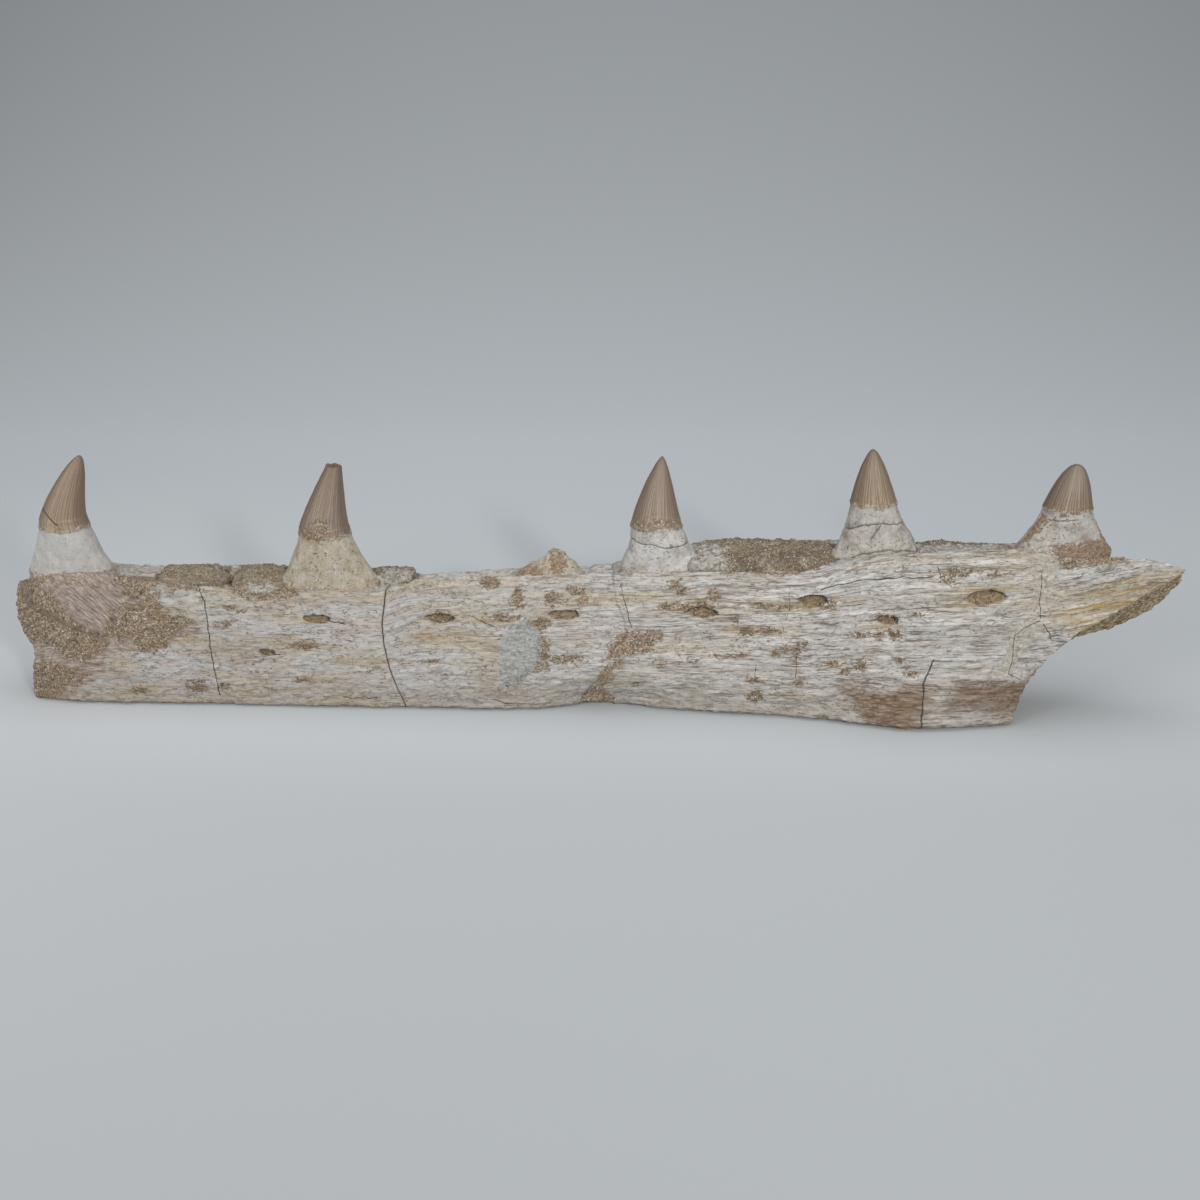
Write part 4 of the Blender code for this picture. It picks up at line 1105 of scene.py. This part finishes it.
def root_cementum(name, tints, speckle, stain, stained):
    """Bony cementum, as on the outside of a root: dull, cream to white and finely pitted."""
    material, tree, shader = new_material(name, 0.72, 0.4)
    grain = add(tree, ATTRIBUTE, out="Vector", attribute_name="grain")
    up = add(tree, ATTRIBUTE, out="Fac", attribute_name="up")
    cloud = pattern(tree, grain, (5.0, 5.0, 6.0), 0.25, 0.75, 4.0, 0.6)
    base = add(tree, RAMP, {"Fac": cloud}, stops=tints)
    streak = pattern(tree, grain, (0.8, 0.8, 7.0), 0.5, 0.75, 3.0, 0.6, end=0.5)
    fine = pattern(tree, grain, (0.9, 0.9, 1.2), 0.5, 0.74, 3.0, 0.7)
    dots = pattern(tree, grain, (1.2, 1.2, 1.0), 0.6, 0.66, 2.0, 0.5)
    groups = pattern(tree, grain, (8.0, 8.0, 6.0), 0.4, 0.6, 2.0)
    lower = add(tree, RANGE, {"Value": up, "From Min": 0.6, "From Max": 0.0})
    patches = pattern(tree, grain, (4.5, 4.5, 2.5), 0.52, 0.64, 4.0, 0.75)
    rim = pattern(tree, grain, (3.0, 3.0, 2.0), 0.2, 0.8, 4.0, 0.75, start=-0.15, end=0.15)
    rim = add(tree, MATH, {0: up, 1: rim}, operation="ADD")
    rim = add(tree, RANGE, {"Value": rim, "From Min": 0.07, "From Max": -0.03})
    ragged = pattern(tree, grain, (1.4, 1.4, 1.2), 0.2, 0.8, 4.0, 0.75, start=-1.5, end=1.5)
    sand, _ = sand_colour(tree, grain, SAND_TINT)
    dirt = edge_mask(tree, "dirt", ragged, 1.0, 0.3, -0.3)
    base = layered_colour(tree, base, (
        ("#c6c4bf", streak), ("#8f867a", fine, speckle), ("#66573f", dots, groups, speckle),
        (stain, lower, patches, stained), (sand, rim, 0.75),
        (sand, dirt), (stain, dirt, 0.55),
        ("#4a3f34", crack_line(tree, ragged), 0.65)))
    finished(tree, shader, base, layered_height(tree, (fine, -0.5), (dots, -0.8)), 0.25, 0.7)
    return material


def tooth_enamel(name, foot, middle, tip, foot_share):
    """Fossil enamel, grown in long fine ridges: satin, tan to brown, paler and ragged at its foot, with
    painted shade down its front and rear edges.
    """
    material, tree, shader = new_material(name, 0.42, 0.45)
    around = add(tree, ATTRIBUTE, out="Vector", attribute_name="around")
    grain = add(tree, ATTRIBUTE, out="Vector", attribute_name="grain")
    up = add(tree, ATTRIBUTE, out="Fac", attribute_name="up")
    cut_end = add(tree, ATTRIBUTE, out="Fac", attribute_name="cut_end")
    cloud = pattern(tree, around, (6, 6, 9), 0.2, 0.8, 3.0, start=-0.1, end=0.1)
    level = add(tree, MATH, {0: up, 1: cloud}, operation="ADD")
    base = add(tree, RAMP, {"Fac": level}, stops=(
        (0.0, foot), (foot_share, foot), (foot_share + 0.06, middle), (0.98, tip)))
    ridge = pattern(tree, around, (0.6, 0.6, 30), 0.36, 0.66, 3.0, 0.6)
    # the ridges proper, some 44 round the crown and a little uneven
    parts = add(tree, "ShaderNodeSeparateXYZ", {0: around}).node.outputs
    turn = add(tree, MATH, {0: parts[1], 1: parts[0]}, operation="ARCTAN2")
    uneven = pattern(tree, around, (3, 3, 14), 0.2, 0.8, 2.0, start=-2.0, end=2.0)
    lines = add(tree, MATH, {0: turn, 1: 44.0, 2: uneven}, operation="MULTIPLY_ADD")
    lines = add(tree, MATH, {0: lines}, operation="SINE")
    lines = add(tree, RANGE, {"Value": lines, "From Min": -1.0, "From Max": 1.0})
    light = add(tree, RANGE, {"Value": ridge, "From Min": 0.5, "From Max": 1.0})
    dark = add(tree, RANGE, {"Value": ridge, "From Min": 0.5, "From Max": 0.0})
    broad = pattern(tree, around, (2.6, 2.6, 34), 0.5, 0.72, 2.0)
    worn = pattern(tree, around, (2.5, 2.5, 2.0), 0.5, 0.62, 4.0, 0.75)
    band = add(tree, RANGE, {"Value": level, "From Min": foot_share + 0.08, "From Max": foot_share})
    # painted shade: the crown is painted darker down its front and rear edges
    side = add(tree, MATH, {0: turn}, operation="COSINE")
    side = add(tree, MATH, {0: side}, operation="ABSOLUTE")
    side = add(tree, RANGE, {"Value": side, "From Min": 0.45, "From Max": 1.0})
    lower = add(tree, RANGE, {"Value": level, "From Min": 1.0, "From Max": 0.2, "To Min": 0.25})
    specks = pattern(tree, grain, (0.9, 0.9, 0.8), 0.62, 0.68, 2.0)
    bare = pattern(tree, grain, (1.8, 1.8, 1.2), 0.25, 0.75, 4.0, 0.75, start=-0.06, end=0.06)
    bare = add(tree, MATH, {0: up, 1: bare}, operation="ADD")
    bare = add(tree, RANGE, {"Value": bare, "From Min": 0.045, "From Max": 0.015})
    ragged = pattern(tree, grain, (1.4, 1.4, 1.2), 0.2, 0.8, 4.0, 0.75, start=-1.5, end=1.5)
    sand, _ = sand_colour(tree, grain, SAND_TINT)
    dirt = edge_mask(tree, "dirt", ragged, 1.0, 0.3, -0.3)
    base = layered_colour(tree, base, (
        ("#ad9a86", light, 0.3), ("#57463a", dark, 0.4), ("#7d6656", broad, 0.3),
        ("#c2b19b", lines, lower, 0.24), ("#57443a", side, 0.5), ("#b5ab9c", bare, 0.7),
        ("#5f4c39", band, worn, 0.5), ("#5a4937", specks, 0.4),
        (sand, dirt), ("#5e4c39", dirt, 0.45), ("#6b5746", cut_end),
        ("#33291f", crack_line(tree, ragged), 0.9)))
    finished(tree, shader, base, layered_height(tree, (ridge, 0.6), (lines, 0.8)), 0.1, 0.7)
    return material


def sandy_matrix():
    """Sandstone that set in the empty sockets: rough, brown, of sand cemented with phosphate."""
    material, tree, shader = new_material("sandy_matrix", 0.95, 0.3)
    grain = add(tree, ATTRIBUTE, out="Vector", attribute_name="grain")
    sand, relief = sand_colour(tree, grain, ROCK_TINT)
    broad = pattern(tree, grain, (9, 6, 6), 0.4, 0.68, 3.0)
    pale = pattern(tree, grain, (7, 5, 4), 0.52, 0.68, 4.0, 0.7)
    pores = pattern(tree, grain, (1.6,) * 3, 0.4, 0.6, 4.0, 0.7)
    pits = pattern(tree, grain, (5, 4, 3), 0.45, 0.6, 3.0)
    rag = pattern(tree, grain, (4.0,) * 3, 0.25, 0.75, 4.0, 0.7, start=-4.0, end=4.0)
    crust = edge_mask(tree, "crusted", rag, 1.0, 0.4, -0.4)
    front = add(tree, "ShaderNodeSeparateXYZ", {0: grain}, out=0)
    front = add(tree, RANGE, {"Value": front, "From Min": 160.0, "From Max": 80.0})
    base = layered_colour(tree, sand, (
        ("#4f4435", broad, 0.5), ("#b8aa94", front, 0.3), ("#b3a997", pale, 0.55), ("#bab8b2", crust, 0.85),
        ("#83786a", crust, pores, 0.7), ("#54483a", pores, pits, 0.6)))
    finished(tree, shader, base, relief, 0.35, 0.9)
    return material


def loose_sand():
    """Single quartz and phosphate grains, each its own shade."""
    material, tree, shader = new_material("sand_grains", 0.85, 0.4)
    tone = add(tree, ATTRIBUTE, out="Fac", attribute_name="tone")
    base = add(tree, RAMP, {"Fac": tone}, stops=GRAIN_TINT)
    tree.links.new(base, shader.inputs["Base Color"])
    return material


bone_finish, rock_finish, grain_finish = weathered_bone(), sandy_matrix(), loose_sand()
for name, piece in zip(TEETH, roots):
    piece.data.materials.append(root_cementum("root_cementum_" + name, *ROOT_LOOKS[name]))
for name, piece in zip(CROWN_LOOKS, crowns):
    piece.data.materials.append(tooth_enamel("tooth_enamel_" + name, *CROWN_LOOKS[name]))
for group, finish in ((bones, bone_finish), (rocks, rock_finish)):
    for piece in group:
        piece.data.materials.append(finish)


# Sand grains
GRAINS_PER_SQUARE_METRE = 0.9e6
SMALLEST_GRAIN, LARGEST_GRAIN = 0.0004, 0.00085   # across, in metres


def sandy_ground(targets):
    """A mesh of the faces of those pieces that sand covers."""
    points, faces, count = [], [], 0
    for piece in targets:
        mesh = piece.data
        corners = np.empty(len(mesh.loops), np.int64)
        mesh.loops.foreach_get("vertex_index", corners)
        starts = np.empty(len(mesh.polygons), np.int64)
        mesh.polygons.foreach_get("loop_start", starts)
        cover = np.empty(len(mesh.vertices), np.float32)
        mesh.attributes["sandy"].data.foreach_get("value", cover)
        used = {}
        for face, start in zip(mesh.polygons, starts):
            if face.loop_total == 4 and cover[corners[start]] > 0.5:
                for corner in corners[start:start + 4]:
                    used.setdefault(corner, count + len(used))
                faces.append([used[corner] for corner in corners[start:start + 4]])
        points.append(vertices_of(mesh)[list(used)])
        count += len(used)
    ground = bpy.data.meshes.new("grain_ground")
    ground.from_pydata([tuple(p) for p in np.concatenate(points)], [], faces)
    ground.update()
    return ground


def scattered_sand():
    """Geometry Nodes that scatter grains, each with its own size, shape, turn and shade.

    Gives the tree and the identifiers of its inputs by name.
    """
    tree = bpy.data.node_groups.new("scattered_sand", "GeometryNodeTree")
    tree.is_modifier = True
    tree.interface.new_socket("Ground", in_out="INPUT", socket_type="NodeSocketGeometry")
    sockets = {}
    for name, kind in (("Grains per square metre", "NodeSocketFloat"), ("Smallest", "NodeSocketFloat"),
                       ("Largest", "NodeSocketFloat"), ("Seed", "NodeSocketInt")):
        sockets[name] = tree.interface.new_socket(name, in_out="INPUT", socket_type=kind).identifier
    tree.interface.new_socket("Grains", in_out="OUTPUT", socket_type="NodeSocketGeometry")
    given = add(tree, "NodeGroupInput", out=None).outputs
    spots = add(tree, "GeometryNodeDistributePointsOnFaces", {
        "Mesh": given["Ground"], "Density": given["Grains per square metre"], "Seed": given["Seed"]},
        distribute_method="RANDOM")
    pebble = add(tree, "GeometryNodeMeshIcoSphere", {"Radius": 0.5, "Subdivisions": 1})
    size = add(tree, "FunctionNodeRandomValue", {
        2: given["Smallest"], 3: given["Largest"], "Seed": 7}, out=1, data_type="FLOAT")
    shape = add(tree, "FunctionNodeRandomValue", {0: (0.7, 0.6, 0.5), 1: (1.25, 1.0, 0.9), "Seed": 8},
                data_type="FLOAT_VECTOR")
    shape = add(tree, VECTOR, {0: shape, 3: size}, operation="SCALE")
    turn = add(tree, "FunctionNodeRandomValue", {1: (6.28, 6.28, 6.28), "Seed": 9},
               data_type="FLOAT_VECTOR")
    placed = add(tree, "GeometryNodeInstanceOnPoints", {
        "Points": spots, "Instance": pebble, "Scale": shape, "Rotation": turn})
    tone = add(tree, "FunctionNodeRandomValue", {2: 0.0, 3: 1.0, "Seed": 10}, out=1, data_type="FLOAT")
    toned = add(tree, "GeometryNodeStoreNamedAttribute", {
        "Geometry": placed, "Name": "tone", "Value": tone}, data_type="FLOAT", domain="INSTANCE")
    real = add(tree, "GeometryNodeRealizeInstances", {"Geometry": toned})
    coloured = add(tree, "GeometryNodeSetMaterial", {"Geometry": real, "Material": grain_finish})
    add(tree, "NodeGroupOutput", {"Grains": coloured}, out=None)
    return tree, sockets


def sand_grains(piece_name, targets, seed):
    """Loose and cemented grains, wherever the rock and sand patches of those pieces show."""
    maker = bpy.data.objects.new("grain_maker", sandy_ground(targets))
    SCENE.collection.objects.link(maker)
    scatter = maker.modifiers.new("scatter", "NODES")
    scatter.node_group, sockets = scattered_sand()
    for name, value in (("Grains per square metre", GRAINS_PER_SQUARE_METRE),
                        ("Smallest", SMALLEST_GRAIN), ("Largest", LARGEST_GRAIN), ("Seed", seed)):
        scatter[sockets[name]] = value
    grains = bpy.data.meshes.new_from_object(maker.evaluated_get(bpy.context.evaluated_depsgraph_get()))
    bpy.data.objects.remove(maker)
    move_vertices(grains, vertices_of(grains))
    new_piece(piece_name, grains, "sandy_matrix")


sand_grains("sand_on_front", bones[:2], 5)
sand_grains("sand_on_bone", bones[2:], 7)
sand_grains("sand_on_rock", rocks, 6)


# Table, light and camera
PAPER_FRONT, FLAT_TO, SWEEP_RADIUS, PAPER_TOP = -12.0, 0.5, 2.4, 5.0   # in metres, as all below
PAPER_HALF_WIDTH, BELOW_JAW = 6.0, 0.0001
PAPER_PAINTED_FALLOFF = (   # painted light falloff along the paper, by how far back, from 0.3 m in front of the jaw to 1.8 m behind it
    (0.0, "#aaaeb1"), (0.1, "#b4b8bb"), (0.13, "#bcc0c3"), (0.35, "#c5cacd"), (0.7, "#bcc0c3"),
    (1.0, "#b4b8bb"))


def sweep(steps=32):
    """A pale paper sweep: level under the jaw, then curving gently up behind it."""
    path = [(PAPER_FRONT, 0.0), (FLAT_TO, 0.0)]
    for step in range(1, steps + 1):
        angle = math.radians(90 * step / steps)
        path.append((FLAT_TO + SWEEP_RADIUS * math.sin(angle), SWEEP_RADIUS * (1 - math.cos(angle))))
    path.append((FLAT_TO + SWEEP_RADIUS, PAPER_TOP))
    points = [(x, y, z - BELOW_JAW) for y, z in path for x in (-PAPER_HALF_WIDTH, PAPER_HALF_WIDTH)]
    faces = [(i * 2, i * 2 + 1, i * 2 + 3, i * 2 + 2) for i in range(len(path) - 1)]
    mesh = bpy.data.meshes.new("paper_sweep")
    mesh.from_pydata(points, [], faces)
    mesh.shade_smooth()
    mesh.materials.append(pale_paper())
    floor = bpy.data.objects.new("paper_sweep", mesh)
    SCENE.collection.objects.link(floor)


def pale_paper():
    """Matt backdrop paper with painted light falloff: lightest a little behind the jaw, darker in front,
    far back and far out to both sides, and painted lighter beside the jaw near its front.
    """
    material, tree, shader = new_material("pale_paper", 0.95, 0.1)
    place = add(tree, "ShaderNodeTexCoord", out="Object")
    across, back, _ = add(tree, "ShaderNodeSeparateXYZ", {0: place}).node.outputs
    back = add(tree, RANGE, {"Value": back, "From Min": -0.3, "From Max": 1.8})
    across = add(tree, MATH, {0: across, 1: 0.1}, operation="SUBTRACT")
    across = add(tree, MATH, {0: across, 1: across}, operation="MULTIPLY")
    base = add(tree, RAMP, {"Fac": back}, stops=PAPER_PAINTED_FALLOFF)
    near = add(tree, RANGE, {"Value": back, "From Min": 0.31, "From Max": 0.14})
    painted_side_light = add(tree, RANGE, {"Value": across, "From Max": 0.12})
    # painted light falloff: darker far out to both sides; painted light: lighter to both sides of the jaw,
    # in front of it and just behind it
    base = layered_colour(tree, base, (("#000000", across, 0.16), ("#ffffff", painted_side_light, near, 0.16)))
    tree.links.new(base, shader.inputs["Base Color"])
    return material


def aimed(thing, place, aim):
    """Puts a light or the camera at a place in metres, pointing at another."""
    thing.location = place
    thing.rotation_euler = (Vector(aim) - thing.location).to_track_quat("-Z", "Y").to_euler()
    SCENE.collection.objects.link(thing)


def lamp(name, place, aim, size, power, colour, spread=180):
    """A round lamp: its size in metres, its power in watts and its spread in degrees."""
    data = bpy.data.lights.new(name, "AREA")
    data.shape, data.size, data.energy = "DISK", size, power
    data.color = linear(colour)[:3]
    data.spread = math.radians(spread)
    aimed(bpy.data.objects.new(name, data), place, aim)


sweep()
lamp("right_lamp", (0.30, -0.80, 0.42), (-0.1, 0.3, 0), 0.1, 0.75, "#fffdfa", 80)
lamp("left_soft_box", (-1.0, -0.9, 0.60), (0, 0, 0.04), 0.5, 3.8, "#ffffff")
lamp("overhead_soft_box", (0, 0, 1.3), (0, 0, 0), 1.3, 3.7, "#fdfeff")
world = bpy.data.worlds.new("room")
world.use_nodes = True
room_light = world.node_tree.nodes["Background"].inputs
room_light["Color"].default_value = linear("#fbfdff")
room_light["Strength"].default_value = 0.68
SCENE.world = world
SCENE.view_settings.view_transform = "Standard"

# the camera that was fitted to the photo
FILM_WIDTH, FIELD_OF_VIEW = 36, 50   # mm and degrees
camera_data = bpy.data.cameras.new("photo_camera")
camera_data.sensor_width = FILM_WIDTH
camera_data.lens = FILM_WIDTH / 2 / math.tan(math.radians(FIELD_OF_VIEW / 2))
camera_data.clip_start = 0.01
camera = bpy.data.objects.new("photo_camera", camera_data)
aimed(camera, (0.002717, -0.50262, 0.2498), (0.002717, 0.00918, 0.043))
SCENE.camera = camera
